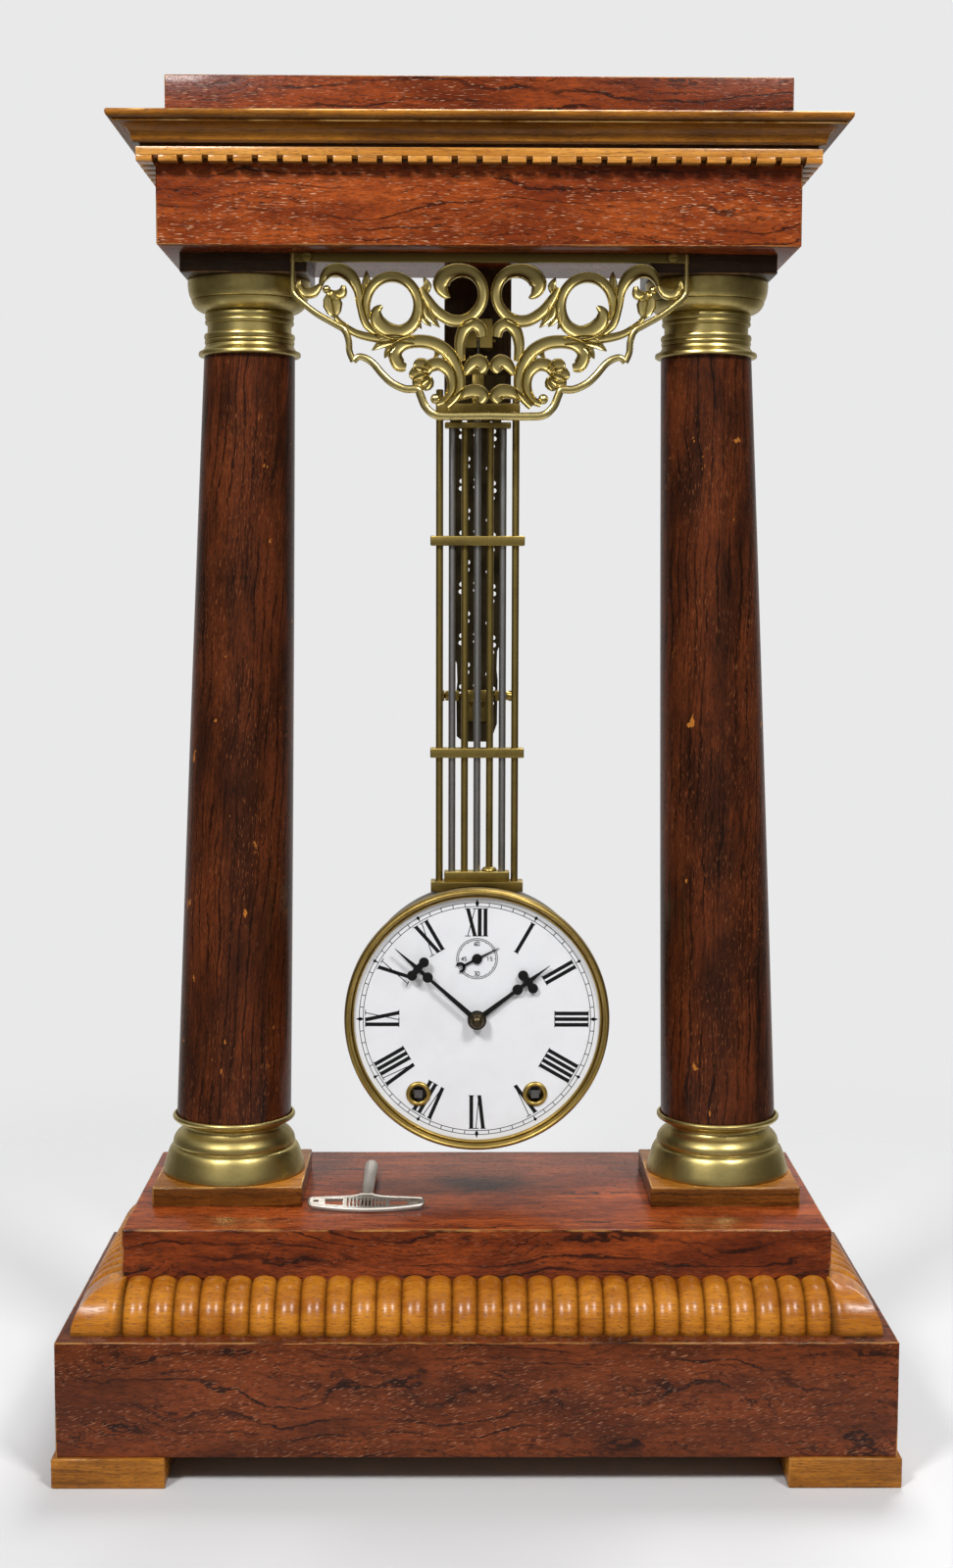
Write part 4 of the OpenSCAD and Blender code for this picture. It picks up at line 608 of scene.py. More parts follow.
# %% [markdown]
# Boards with soft edges
# The base, the step, the frieze and the top are veneered boxes, and no real box has knife edges. A
# Bevel modifier could round them, but here the rounding is made in the mesh, so that each rounded
# strip can carry the edge mark and show the golden wood where the veneer has rubbed through.

# %% Rounded blocks
SHIFT_OVER, SIDE_APART = 0.37, 90.0  # so that neighbouring sides and boards show different grain


def take(shape, bm, wear_and_highlight=(), grain_axis=0, shift=0.0, hollow=0.0):
    """Adds a bmesh to a shape, with the grain laid along one axis on every side of it; hollow is
    one mark for all points, or a function that gives it for a point."""
    bm.normal_update()
    bm.verts.index_update()
    grain = []
    for face in bm.faces:
        flat = max(range(3), key=lambda i: abs(face.normal[i]))
        along = grain_axis if flat != grain_axis else int(grain_axis == 0)
        over = 3 - flat - along
        grain.append([(loop.vert.co[along] + shift,
                       loop.vert.co[over] + SHIFT_OVER * shift + SIDE_APART * flat) for loop in face.loops])
    shape.add([v.co.copy() for v in bm.verts], [[v.index for v in f.verts] for f in bm.faces], grain,
              [1.0 if f in wear_and_highlight else 0.0 for f in bm.faces],
              [hollow(v.co) if callable(hollow) else hollow for v in bm.verts])
    bm.free()


def block(shape, low, high, round_r=0.4, steps=2, grain_axis=0, shift=0.0, open_z=0, hollow=0.0):
    """A box with rounded edges; open_z of 1 or -1 leaves off its top or its underside."""
    bm = bmesh.new()
    bmesh.ops.create_cube(bm, size=1.0)
    for v in bm.verts:
        v.co = [high[i] if v.co[i] > 0 else low[i] for i in range(3)]
    if open_z:
        lid = [f for f in bm.faces if f.normal.z * open_z > UPWARD]
        bmesh.ops.delete(bm, geom=lid, context="FACES_ONLY")
    ridges = [e for e in bm.edges if len(e.link_faces) == 2]
    made = bmesh.ops.bevel(bm, geom=ridges, offset=round_r, segments=steps, profile=0.5,
                           affect="EDGES")
    take(shape, bm, set(made["faces"]), grain_axis, shift, hollow)


shape = Shape()
block(shape, (0, 0, 0), (10, 10, 10))
print("a rounded block has", len(shape.faces), "faces")

# %% The four veneered boxes
PANEL = 10.0  # thickness of the boards of the boxes


def box_piece(name, node, slot, open_z, shift, round_r=0.6, finish=None, top=None):
    """A veneered box with one open side, in boards of the panel thickness."""
    shape = Shape()
    block(shape, *node_box(node), round_r=round_r, steps=3, shift=shift, open_z=open_z)
    piece = hang(shape, name, "case", slot, node, finish=finish, top=top)
    boards = piece.modifiers.new("boards", "SOLIDIFY")
    boards.thickness, boards.offset, boards.use_even_offset = PANEL * MM, -1.0, True


box_piece("base_box", "base_carcass", "veneer_dark", -1, 310.0)
# The step's front wears the deep veneer and its top the lighter red one: the lighter top is painted light
# from above
box_piece("step_box", "upper_step", "veneer_red", -1, 95.0, 0.8, "veneer_deep", "veneer_lit_top")
box_piece("frieze_box", "frieze_carcass", "veneer_red", 1, 700.0)
box_piece("cap_box", "top_block", "veneer_red", -1, 1240.0, finish="veneer_cap")

# %% Feet, plinths, abacus blocks and the hanging board
SMALL_BLOCKS = (
    # name, node, slot, finish and top finish where they differ (the top finish is lighter: painted light
    # from above), axis of the grain, rounding
    ("foot_blocks", "feet", "honey_wood", "foot_wood", None, 0, 0.8),
    ("plinth_blocks", "column_plinths", "plinth_wood", None, "honey_deep", 0, 0.7),
    ("abacus_pair", "abacus_blocks", "dark_wood", None, None, 0, 0.5),
    ("hanging_board", "suspension_board", "dark_wood", None, None, 2, 0.6),
)
BLOCK_SHIFT = 170.0
for name, node, slot, finish, top, grain_axis, round_r in SMALL_BLOCKS:
    shape = Shape()
    for i, (low, high) in enumerate(solid_boxes(node)):
        block(shape, low, high, round_r, 3, grain_axis, shift=BLOCK_SHIFT * (i + 1))
    hang(shape, name, "case", slot, node, finish=finish, top=top)

# %% The lining under the frieze
LINING, LINING_INSET = 0.2, 1.5
low, high = node_box("frieze_carcass")
shape = Shape()
block(shape, (low.x + LINING_INSET, low.y + LINING_INSET, low.z - LINING),
      (high.x - LINING_INSET, high.y - LINING_INSET, low.z + LINING), LINING / 2)
hang(shape, "soffit_lining", "case", "dark_wood", finish="veneer_deep")

# %% [markdown]
# A row of reeds
# The step stands in a carved moulding: a quarter round cut into fat upright reeds, with plain leaves
# at the mitred corners. An array of one reed would do for the straight runs, but the corners need
# their own shape. Instead one skin runs round three sides: each ring of it is the quarter round at
# one spot, pulled in where a groove lies, and the hollow mark paints shade into the grooves and along the
# foot of the moulding.


# %% Skins through rings
def loft(shape, rings, joined=False, ends=True, along_rings=True, shift=0.0, hollow=None, edge=None,
         steady=False):
    """Skins a row of closed rings with the same number of points; joined closes the row too, edge
    has a mark for each ring, and steady lays the grain of the first ring along all of them."""
    count, total = len(rings[0]), len(rings)
    rings = [[Vector(p) for p in ring] for ring in rings]
    run = [0.0]
    for a, b in zip(rings, rings[1:] + rings[:1]):
        run.append(run[-1] + sum((q - p).length for p, q in zip(a, b)) / count)
    turn = []
    for ring in rings:
        turn.append([0.0])
        for p, q in zip(ring, ring[1:] + ring[:1]):
            turn[-1].append(turn[-1][-1] + (q - p).length)
    if steady:
        turn = [turn[0]] * total
    faces, grain, marks = [], [], []
    for i in range(total if joined else total - 1):
        k = (i + 1) % total
        for j in range(count):
            m = (j + 1) % count
            faces.append((i * count + j, k * count + j, k * count + m, i * count + m))
            marks.append(min(edge[i], edge[k]) if edge else 0.0)
            pairs = [(run[i], turn[i][j]), (run[i + 1], turn[k][j]),
                     (run[i + 1], turn[k][j + 1]), (run[i], turn[i][j + 1])]
            grain.append([(u + shift, v) if along_rings else (v + shift, u) for u, v in pairs])
    if ends and not joined:
        for start in (0, (total - 1) * count):
            faces.append(tuple(range(start, start + count)))
            marks.append(0.0)
            grain.append([(p.x + p.y + shift, p.z) for p in rings[start // count]])
    shape.add([p for ring in rings for p in ring], faces, grain, marks, hollow)


shape = Shape()
loft(shape, [[(0, 0, z), (1, 0, z), (0, 1, z)] for z in (0, 1)])
print("two rings of three points make a skin of", len(shape.faces), "faces")

# %% The rings of the moulding
REED_PITCH, GROOVE_DEPTH, REED_STEPS, BEND_STEPS = 10.3, 3.3, 12, 14
REED_ROUND = 0.98  # a little under 1, so that the sides of a reed don't end upright
GROOVE_SHADE_START = 0.35  # the share of a groove's depth past which painted shade darkens the groove
FOOT_SHADOW = 0.8  # painted shadow line: how dark the moulding is where it meets the base
FRONT_ROOM, SIDE_ROOM = 4.0, 2.0  # the least room that the rows of reeds leave at the corners
step_low, step_high = node_box("upper_step")
reed_low, reed_high = node_box("gadroon_moulding")
reed_r = reed_high.z - reed_low.z
front_count = int((step_high.x - step_low.x - FRONT_ROOM) / REED_PITCH)
side_count = int((step_high.y - step_low.y - SIDE_ROOM) / REED_PITCH)
front_half = front_count * REED_PITCH / 2
side_front = step_high.y - side_count * REED_PITCH


def angles(start, end, steps):
    """Angles in equal steps, given in degrees and returned in radians."""
    return [math.radians(start + (end - start) * k / steps) for k in range(steps + 1)]


bend = angles(0, 90, BEND_STEPS)


def reed_ring(place, radius, groove):
    """One ring and its hollow marks; place gives the spot for a distance out from the step."""
    ring = [place(0.0, reed_low.z)]
    ring += [place(radius * math.cos(a), reed_low.z + radius * math.sin(a)) for a in bend]
    return ring, [groove, max(groove, FOOT_SHADOW)] + [groove] * (len(bend) - 1)


def reed_row(start, end, count, place):
    """A row of reeds between two spots; place takes the spot along the row and the distance out."""
    made = []
    for reed in range(count):
        for k in range(REED_STEPS + 1):
            u = 2 * k / REED_STEPS - 1
            dip = 1 - math.sqrt(1 - REED_ROUND * u * u)
            spot = start + (end - start) * (reed + k / REED_STEPS) / count
            groove = max(0.0, (dip - GROOVE_SHADE_START) / (1 - GROOVE_SHADE_START))
            made.append(reed_ring(lambda out, z: place(spot, out, z), reed_r - GROOVE_DEPTH * dip, groove))
    return made


print("reeds on the front:", front_count, "on each side:", side_count)

# %% The corner leaves and the whole moulding
LEAF_STEPS = 10
LEAF_INSET = 0.9  # how much smaller the corner leaves are than the reeds at their ridge
LEAF_BULGE = 0.9  # how far their sides swell
LEAF_GROOVE, LEAF_CLIMB = 0.6, 6  # share of the groove's depth beside a leaf, and how fast it ends


def leaf_half(corner_x, on_front, backwards):
    """Half of a corner leaf, from its groove to the mitre, or backwards."""
    start = math.copysign(front_half, corner_x) if on_front else side_front
    made = []
    for k in range(LEAF_STEPS + 1):
        t = k / LEAF_STEPS
        radius = reed_r - LEAF_INSET * t + LEAF_BULGE * (math.sin(math.pi * t) - 1) * (1 - t)
        groove = max(0.0, 1 - LEAF_CLIMB * t)

        def place(out, z):
            x, y = corner_x + math.copysign(out, corner_x), step_low.y - out
            if on_front:
                return (start + t * (x - start), y, z)
            return (x, start + t * (y - start), z)

        made.append(reed_ring(place, radius - GROOVE_DEPTH * LEAF_GROOVE * groove, groove))
    return made[::-1] if backwards else made


moulding = reed_row(step_high.y, side_front, side_count, lambda y, out, z: (step_low.x - out, y, z))
moulding += leaf_half(step_low.x, False, False) + leaf_half(step_low.x, True, True)
moulding += reed_row(-front_half, front_half, front_count, lambda x, out, z: (x, step_low.y - out, z))
moulding += leaf_half(step_high.x, True, False) + leaf_half(step_high.x, False, True)
moulding += reed_row(side_front, step_high.y, side_count, lambda y, out, z: (step_high.x + out, y, z))
shape = Shape()
loft(shape, [ring for ring, _ in moulding], hollow=[m for _, marks in moulding for m in marks], steady=True)
hang(shape, "reeded_moulding", "case", "honey_wood", "gadroon_moulding", sharp=40)

# %% [markdown]
# Dentils and cornice
# Under the cornice runs a strip of small square teeth, and above it a hollow and a round nose. The
# teeth are separate little blocks under one fascia, which is how a cabinet maker would glue them. The
# cornice is a stack of rectangles that follow its profile, so its mitres come out sharp by themselves.

# %% The dentil strip
DENTIL_PITCH, DENTIL_GAP, DENTIL_CUT = 10.0, 2.5, 2.4
DENTIL_DROP = 0.8  # how far the teeth reach down over the frieze
SHADOW_GAP, SHADOW_SET = 1.3, 1.6  # height and set-back of the strip under the cornice, dark all over with painted shade
GAP_SHADE = 1.5  # how far in from the faces the painted shade of the gaps begins
BACKING_LAP = 0.2  # how far the backing of the gaps, dark all over with painted shade, reaches up behind the fascia
low, high = node_box("dentil_course")
frieze_low, frieze_high = node_box("frieze_carcass")
tooth_foot = low.z - DENTIL_DROP
cut_top, fascia_top = tooth_foot + DENTIL_CUT, high.z - SHADOW_GAP
shape = Shape()


def gap_shade_mark(point):
    """The hollow mark of a tooth, which paints shade: dark where it lies back from the faces of the strip.
    """
    inside = low.x + GAP_SHADE < point.x < high.x - GAP_SHADE
    return 1.0 if inside and point.y > low.y + GAP_SHADE else 0.0


def tooth(x0, x1, y0, y1, shift):
    """One tooth of the strip."""
    block(shape, (x0, y0, tooth_foot), (x1, y1, cut_top), 0.3, shift=shift, hollow=gap_shade_mark)


block(shape, (low.x, low.y, cut_top), (high.x, high.y, fascia_top), 0.25, shift=40.0)
# The strip under the cornice and the backing behind the gaps take the full hollow mark: painted shade
block(shape, (low.x + SHADOW_SET, low.y + SHADOW_SET, fascia_top), (high.x - SHADOW_SET, high.y, high.z),
      0.05, hollow=1.0)
block(shape, (frieze_low.x, frieze_low.y, low.z), (frieze_high.x, high.y, cut_top + BACKING_LAP), 0.1,
      hollow=1.0)
front_gaps = int((high.x - low.x - DENTIL_PITCH) / DENTIL_PITCH)
side_gaps = int((high.y - low.y - DENTIL_PITCH / 2) / DENTIL_PITCH)
corner_x = front_gaps / 2 * DENTIL_PITCH + DENTIL_GAP / 2
for i in range(front_gaps):
    x = (i - front_gaps / 2) * DENTIL_PITCH + DENTIL_GAP / 2
    tooth(x, x + DENTIL_PITCH - DENTIL_GAP, low.y, frieze_low.y, 23.0 * i)
for i in range(side_gaps + 1):
    start = low.y + i * DENTIL_PITCH + (DENTIL_GAP / 2 if i else 0.0)
    end = min(low.y + (i + 1) * DENTIL_PITCH - DENTIL_GAP / 2, high.y)
    inner = frieze_high.x if i else corner_x
    tooth(inner, high.x, start, end, 31.0 * i)
    tooth(low.x, -inner, start, end, 37.0 * i)
hang(shape, "dentil_strip", "case", "golden_wood", "dentil_course")

# %% The cornice
# A row of the profile: how far it stands out from the frieze, how high it is, its hollow mark, which paints
# shade, and its edge mark, which paints rubbed edges that stand as highlights too
FOOT_ROWS = [(7.9, 0.0, 1.0, 0), (7.9, 0.7, 0.8, 0), (8.3, 1.0, 0.0, 1)]
COVE_FOOT, COVE_OUT, COVE_H = (8.4, 1.3), 5.9, 5.5
FILLET_OUT, FILLET_UP = 15.2, 7.1
FILLET_ROWS = [(-0.6, -0.2, 0.8, 0), (-0.2, -0.15, 0.0, 1), (0.0, 0.0, 0.0, 1), (0.0, 0.35, 0.0, 1),
               (-0.2, 0.48, 0.5, 0)]
NOSE_FOOT, NOSE_ROUND = 7.65, 1.2  # where the nose starts, and the radius of its upper edge
low, high = node_box("cornice")
quarter = angles(0, 90, 9)
nose_out, nose_top = frieze_low.x - low.x, high.z - low.z
nose_in, nose_mid = FILLET_OUT - 0.2, nose_top - NOSE_ROUND
# The hollow marks paint shade: a dark line at the foot, darker towards the top of the cove and in the recess
# by the fillet, and darker on the underside of the nose
profile = FOOT_ROWS + [(COVE_FOOT[0] + COVE_OUT * (1 - math.cos(a)), COVE_FOOT[1] + COVE_H * math.sin(a),
                        0.7 * math.sin(a) ** 4, 0) for a in quarter]
profile += [(FILLET_OUT + out, FILLET_UP + up, deep, wear_and_highlight) for out, up, deep, wear_and_highlight in FILLET_ROWS]
profile += [(nose_in + (nose_out - nose_in) * math.sin(a), nose_mid - (nose_mid - NOSE_FOOT) * math.cos(a),
             0.9 * math.cos(a), 0) for a in quarter]
profile += [(nose_out - NOSE_ROUND * (1 - math.cos(a)), nose_mid + NOSE_ROUND * math.sin(a), 0.0, 1)
            for a in quarter[2::2] + quarter[-1:]]
rings, hollow = [], []
for out, up, deep, wear_and_highlight in profile:
    left, right, front = frieze_low.x - out, frieze_high.x + out, frieze_low.y - out
    corners = ((left, high.y), (left, front), (right, front), (right, high.y))
    rings.append([(x, y, low.z + up) for x, y in corners])
    hollow += [deep] * len(corners)
shape = Shape()
loft(shape, rings, along_rings=False, shift=510.0, hollow=hollow, edge=[wear_and_highlight for *_, wear_and_highlight in profile])
hang(shape, "cornice_moulding", "case", "golden_wood", "cornice", sharp=40, finish="honey_deep")

# %% [markdown]
# Turned brass
# The columns stand in brass rings and end in brass capitals, all turned on a lathe. In Blender the
# same is done by spinning a profile round an axis. The Screw modifier could do it; a few lines of
# code give closed rings that any later step can use again.


# %% Turning a profile
def flowing(points, fine=6):
    """Points on a smooth curve that passes through the given ones."""
    out = []
    for i in range(len(points) - 1):
        near = [points[min(max(i + k, 0), len(points) - 1)] for k in (-1, 0, 1, 2)]
        for k in range(fine):
            t = k / fine
            out.append(tuple(
                0.5 * (2 * b + (c - a) * t + (2 * a - 5 * b + 4 * c - d) * t ** 2
                       + (3 * b - a - 3 * c + d) * t ** 3) for a, b, c, d in zip(*near)))
    return out + [tuple(points[-1])]


def lathe(shape, profile, centre, axis=2, steps=96, joined=False):
    """Turns (radius, height) pairs round an axis through centre."""
    rings = []
    for radius, height in profile:
        ring = []
        for i in range(steps):
            a = 2 * math.pi * i / steps
            spot = [radius * math.cos(a), radius * math.sin(a)]
            spot.insert(axis, height)
            ring.append(Vector(centre) + Vector(spot))
        rings.append(ring)
    loft(shape, rings, joined)


print("a curve through 3 points gets", len(flowing([(0, 0), (1, 1), (2, 0)])), "points")

# %% The column bases and capitals
BASE_FLARE = [(31, 0.8), (30.7, 2.5), (29.7, 6), (28.7, 9), (27.9, 10.6), (27.2, 11.3)]
BASE_OVOLO = [(26.6, 12.6), (26.7, 13.4), (26.2, 15.2), (24.9, 17), (23.3, 18.4), (22.4, 19.4),
              (22, 20.4), (22.3, 21.2), (23.6, 22.2), (25.6, 22.9), (26.5, 23.6), (26.8, 24.4),
              (26.6, 25.1), (26.1, 25.6)]
BASE_SEAT = [(25.6, 25.6), (25.45, 25.0), (25.4, 23.6)]
base_profile = ([(30.6, 0), (31, 0.3)] + flowing(BASE_FLARE) + [(26.4, 11.5), (26.0, 12.0)]
                + flowing(BASE_OVOLO) + BASE_SEAT)
BEAD_RISE = 0.55
CAPITAL_FOOT = [(21.2, 0), (21.7, 0.4), (21.7, 1.6), (21.4, 2.0)]
CAPITAL_NECK = [(20.2, 2.5), (19.3, 3.4), (18.9, 4.3), (18.7, 4.8), (18.4, 4.9)]
CAPITAL_BELL = [(18.9, 18.4), (20.6, 18.9), (22.6, 20.1), (23.8, 21.6), (24.5, 23.0)]
CAPITAL_LIP = [(24.5, 23.7), (25.2, 25.2), (25.7, 27.0), (26.0, 29.6), (26.0, 31.4), (25.7, 32.0)]


def bead(radius, start, end):
    """The half-round profile of a raised ring."""
    half = (end - start) / 2
    return [(radius - BEAD_RISE + BEAD_RISE * math.sin(a), start + half - half * math.cos(a))
            for a in angles(0, 180, 10)]


capital_profile = (CAPITAL_FOOT + flowing(CAPITAL_NECK) + bead(19.1, 5.0, 7.0) + bead(19.3, 7.1, 9.5)
                   + [(17.85, 9.7), (17.85, 13.2)] + bead(18.9, 13.4, 15.3) + bead(18.9, 15.4, 18.2)
                   + flowing(CAPITAL_BELL) + [(24.1, 23.2), (24.0, 23.4)] + flowing(CAPITAL_LIP))
for side in ("left", "right"):
    for part, profile in (("base", base_profile), ("capital", capital_profile)):
        node = f"column_{part}_{side}"
        spot = middle(node)
        spot.z = node_box(node)[0].z
        shape = Shape()
        lathe(shape, profile, spot, steps=128)
        hang(shape, f"turned_{part}_{side}", "case", "satin_brass", node, sharp=50)

# %% [markdown]
# Leaning shafts
# The shafts are tapered and lean inwards, so they are not quite cylinders. A scaled cylinder would
# bend the grain. These are skins through level rings whose centres walk from the base to the capital,
# with the grain laid upright, and with a very slight swelling as on a real column.

# %% The two shafts
SHAFT_SIDES, SHAFT_RINGS = 96, 40
SEAM_SIDE = 24  # the side at which the grain map meets itself, at the back
SHAFT_TAPER, SWELLING = 5.7, 0.25
for side, grain_start in (("left", 60.0), ("right", 830.0)):
    low, high = node_box(f"column_shaft_{side}")
    foot, head = middle(f"column_base_{side}"), middle(f"column_capital_{side}")
    foot.z, head.z = low.z, high.z
    foot_r = (high.y - low.y) / 2
    rings = []
    for k in range(SHAFT_RINGS + 1):
        t = k / SHAFT_RINGS
        spot = foot.lerp(head, t)
        radius = foot_r - SHAFT_TAPER * t + SWELLING * 4 * t * (1 - t)
        rings.append([spot + Vector((radius * math.cos(a), radius * math.sin(a), 0.0)) for a in (
            2 * math.pi * (i + SEAM_SIDE) / SHAFT_SIDES for i in range(SHAFT_SIDES))])
    shape = Shape()
    loft(shape, rings, shift=grain_start)
    hang(shape, f"shaft_{side}", "case", "column_wood", f"column_shaft_{side}")

# %% [markdown]
# Bands that swell and taper
# Under the frieze hangs a pierced brass ornament of scrolls and leaves. It was cast, with bands that
# are hollow along the middle and raised along both rims, swelling and then thinning to their tips. A
# curve with a bevel gives one even thickness. Here a section with rims is swept along each curve and
# widened or thinned on the way, and the hollow mark lets the patina settle between the rims.

# %% Sections of the bands
# A point of a section: its place across, from -1 to 1, its height, from 0 to 1, and its hollow mark


def mirrored(points):
    """The points on the other side of the middle, in the opposite order."""
    return [(-p[0], *p[1:]) for p in reversed(points)]


HOLLOW_HALF = [(-1, 0, 0), (-1, 0.78, 0), (-0.97, 0.94, 0), (-0.91, 1, 0), (-0.84, 0.95, 0.3),
               (-0.78, 0.78, 1.0), (-0.62, 0.66, 0.8), (-0.32, 0.59, 0.62)]
HOLLOW_SECTION = HOLLOW_HALF + [(0, 0.57, 0.55)] + mirrored(HOLLOW_HALF)
LEAF_SIDE = [(-1, 0, 0), (-1, 0.45, 0), (-0.8, 0.72, 0.2), (-0.4, 0.6, 0.7), (-0.12, 0.62, 0.6)]
LEAF_SECTION = LEAF_SIDE + [(0, 0.85, 0)] + mirrored(LEAF_SIDE)
ROUND_SECTION = [(math.cos(a), 0.5 + 0.5 * math.sin(a), 0) for a in angles(210, -30, 10)]
ROUND_SECTION += [(0.8, 0, 0), (-0.8, 0, 0)]
print("points of the sections:", len(HOLLOW_SECTION), len(LEAF_SECTION), len(ROUND_SECTION))

# %% Sweeping the bands
TIP_SHARE, SHARE_RUN = 0.35, 2.2  # share of the height at a tip, and how fast it grows with the width
TOP_CLEAR = 0.05  # the bands stay this far below the top of the ornament
BOSS_FOOT = 0.35  # the share of a boss that is upright
fret_low, fret_high = node_box("fret")
fret_x, fret_top, fret_back = (fret_low.x + fret_high.x) / 2, fret_high.z, fret_high.y
fret_thick = fret_high.y - fret_low.y


def band(shape, points, widths, section=HOLLOW_SECTION, side=1, height=1.0):
    """Sweeps a section along points (right of the middle, below the top); widths spread over them."""
    path = flowing(points)
    rings, hollow = [], []
    for i, (right, down) in enumerate(path):
        ahead, behind = path[min(i + 1, len(path) - 1)], path[max(i - 1, 0)]
        along = Vector((ahead[0] - behind[0], ahead[1] - behind[1])).normalized()
        t = i / (len(path) - 1) * (len(widths) - 1)
        k = min(int(t), len(widths) - 2)
        half = (widths[k] + (widths[k + 1] - widths[k]) * (t - k)) / 2
        tall = fret_thick * height * min(1.0, TIP_SHARE + half / SHARE_RUN)
        ring = []
        for across, up, deep in section:
            x = right - along.y * across * half
            z = max(down + along.x * across * half, TOP_CLEAR)
            ring.append((fret_x + side * x, fret_back - up * tall, fret_top - z))
            hollow.append(deep)
        rings.append(ring)
    loft(shape, rings, hollow=hollow)


def boss(shape, right, down, radius, side):
    """A domed boss on the ornament."""
    spot = (fret_x + side * right, fret_back, fret_top - down)
    dome = [(radius, 0.0), (radius, -BOSS_FOOT * fret_thick)]
    dome += [(radius * math.cos(a), -fret_thick * (BOSS_FOOT + (1 - BOSS_FOOT) * math.sin(a)))
             for a in angles(15, 75, 4)]
    lathe(shape, dome + [(0.1, -fret_thick)], spot, axis=1, steps=24)


print("the ornament is", round(fret_high.x - fret_low.x, 1), "mm wide and", round(fret_thick, 1), "thick")

# %% The curves of the ornament
FRET_BANDS = (
    ([(16.2, 18.4), (18.6, 17.0), (20.2, 13.4), (18.0, 9.4), (13.1, 7.4), (7.6, 8.3), (3.8, 12),
      (2.7, 17.4), (4.5, 22.8), (9.2, 27.1), (15.4, 27.8), (21.6, 24.3), (26, 18.9), (28.6, 14.3)],
     (0.5, 3.6, 6.4, 6.2, 5.0, 4.4, 4.0, 4.0, 4.2, 4.4, 4.2, 3.6, 2.0)),
    ([(49.9, 27.4), (51.3, 21.2), (49.2, 14.8), (44.6, 10.9), (38.7, 10.2), (33.3, 12.8), (29.9, 18.2),
      (29.6, 24.3), (32, 29.7), (37.2, 32.6), (42.6, 31.5), (46.3, 28.2), (46.8, 24.2), (44.4, 21.8)],
     (2.0, 3.6, 3.8, 3.8, 3.8, 3.8, 4.0, 4.4, 5.0, 5.8, 5.8, 4.2, 0.8)),
    ([(44.9, 34.5), (50.9, 29.7), (53.2, 22.8), (54.3, 15.8), (57.1, 10.4), (61.7, 7.4), (66.2, 8),
      (69, 11.2), (69.8, 14)], (1.8, 3.0, 3.0, 3.6, 4.8, 5.2, 4.4, 2.6, 1.2)),
    ([(69.8, 13.5), (72.6, 16.3), (76.2, 16.7), (79, 13.8)], (1.6, 3.8, 4.0, 1.8)),
    ([(68.8, 14.6), (64.4, 17.6), (61, 16.6), (60.4, 13.6)], (1.4, 3.4, 3.8, 1.4)),
    ([(63.9, 26.2), (61.3, 29.2), (55.1, 33.2), (46.5, 35.1), (37.9, 35.1), (30.9, 36.3)],
     (1.6, 2.2, 2.8, 3.2, 2.8, 2.0)),
    ([(34.6, 47), (37.4, 46), (39.2, 41.5), (36.4, 37.8), (30.2, 36.3), (23.2, 37.2), (17.3, 40.8),
      (13.5, 46.6), (12.3, 52.8), (13.5, 58.2), (17.7, 62.8)],
     (2.6, 5.2, 5.0, 4.6, 4.8, 5.0, 4.6, 4.2, 3.8, 3.2)),
    ([(21.6, 62), (17.3, 59.7), (15.3, 54.3), (16.4, 48.9), (20.4, 45.7), (24.6, 46.4), (26.8, 49.8)],
     (2.2, 3.4, 4.0, 4.4, 4.8, 4.8, 3.0)),
    ([(24.8, 48.4), (28.2, 46.4), (31.6, 45.6)], (2.4, 5.2, 6.0, 4.8, 1.2)),
    ([(25.2, 49.2), (29.4, 49.6), (33.4, 50.2)], (2.4, 5.4, 6.4, 5.0, 1.2)),
    ([(25.2, 50.2), (28.6, 52.4), (31.6, 54.6)], (2.4, 5.2, 6.0, 4.8, 1.2)),
    ([(24.8, 50.6), (26.0, 53.6), (26.8, 56.4)], (2.0, 4.6, 5.4, 4.2, 1.2)),
    ([(11.7, 44.3), (12.3, 37.4), (10.7, 31.7), (7.3, 29.1), (3.9, 30.7), (3, 34.4)],
     (3.0, 4.0, 4.6, 4.8, 4.6, 3.4)),
    ([(10.4, 49.7), (7.6, 45.8), (4.6, 44.6), (2.9, 46.4), (4, 48.8)], (2.2, 4.6, 5.8, 5.4, 2.6)),
    ([(13.8, 59.7), (9.2, 57.2), (5.2, 56.8), (2.9, 58.6), (4, 61.2)], (2.2, 4.8, 5.8, 5.4, 2.6)),
)
FRET_LEAVES = (
    ([(52.1, 16.6), (51.0, 12), (51, 7.4)], 3.6), ([(26.8, 18.9), (25.2, 25.1), (20.6, 30.6)], 4.6),
    ([(28, 21), (27, 26.6), (24.2, 30.2)], 3.8), ([(26.6, 17), (25.8, 13.5), (27.4, 10)], 3.6),
    ([(29.2, 22), (29.8, 27.4), (28.2, 31.2)], 3.0), ([(37.2, 35.7), (43.7, 36.8), (48.8, 40)], 4.4),
    ([(38.3, 37.5), (41.7, 40), (43.6, 43.2)], 3.6), ([(20.4, 39), (18.4, 42.4), (19.6, 45.6)], 2.8),
    ([(22.4, 37.8), (21.6, 40.8), (23.2, 43.2)], 2.8), ([(77, 16.8), (78.8, 14), (78.6, 10.8)], 3.2),
    ([(61.6, 29), (58.6, 33.6), (58.4, 38)], 2.2),
)
FRET_BOSSES = ((22.4, 59.8, 2.1), (67.5, 15.2, 1.7))
FRET_EDGE = [(81.3, 0.8), (81.4, 14), (80.8, 17.4), (77.8, 20.4), (71.5, 25.2), (64, 29.4), (60.1, 31.8),
             (58.4, 36), (58, 40.6), (56.4, 44.6)]
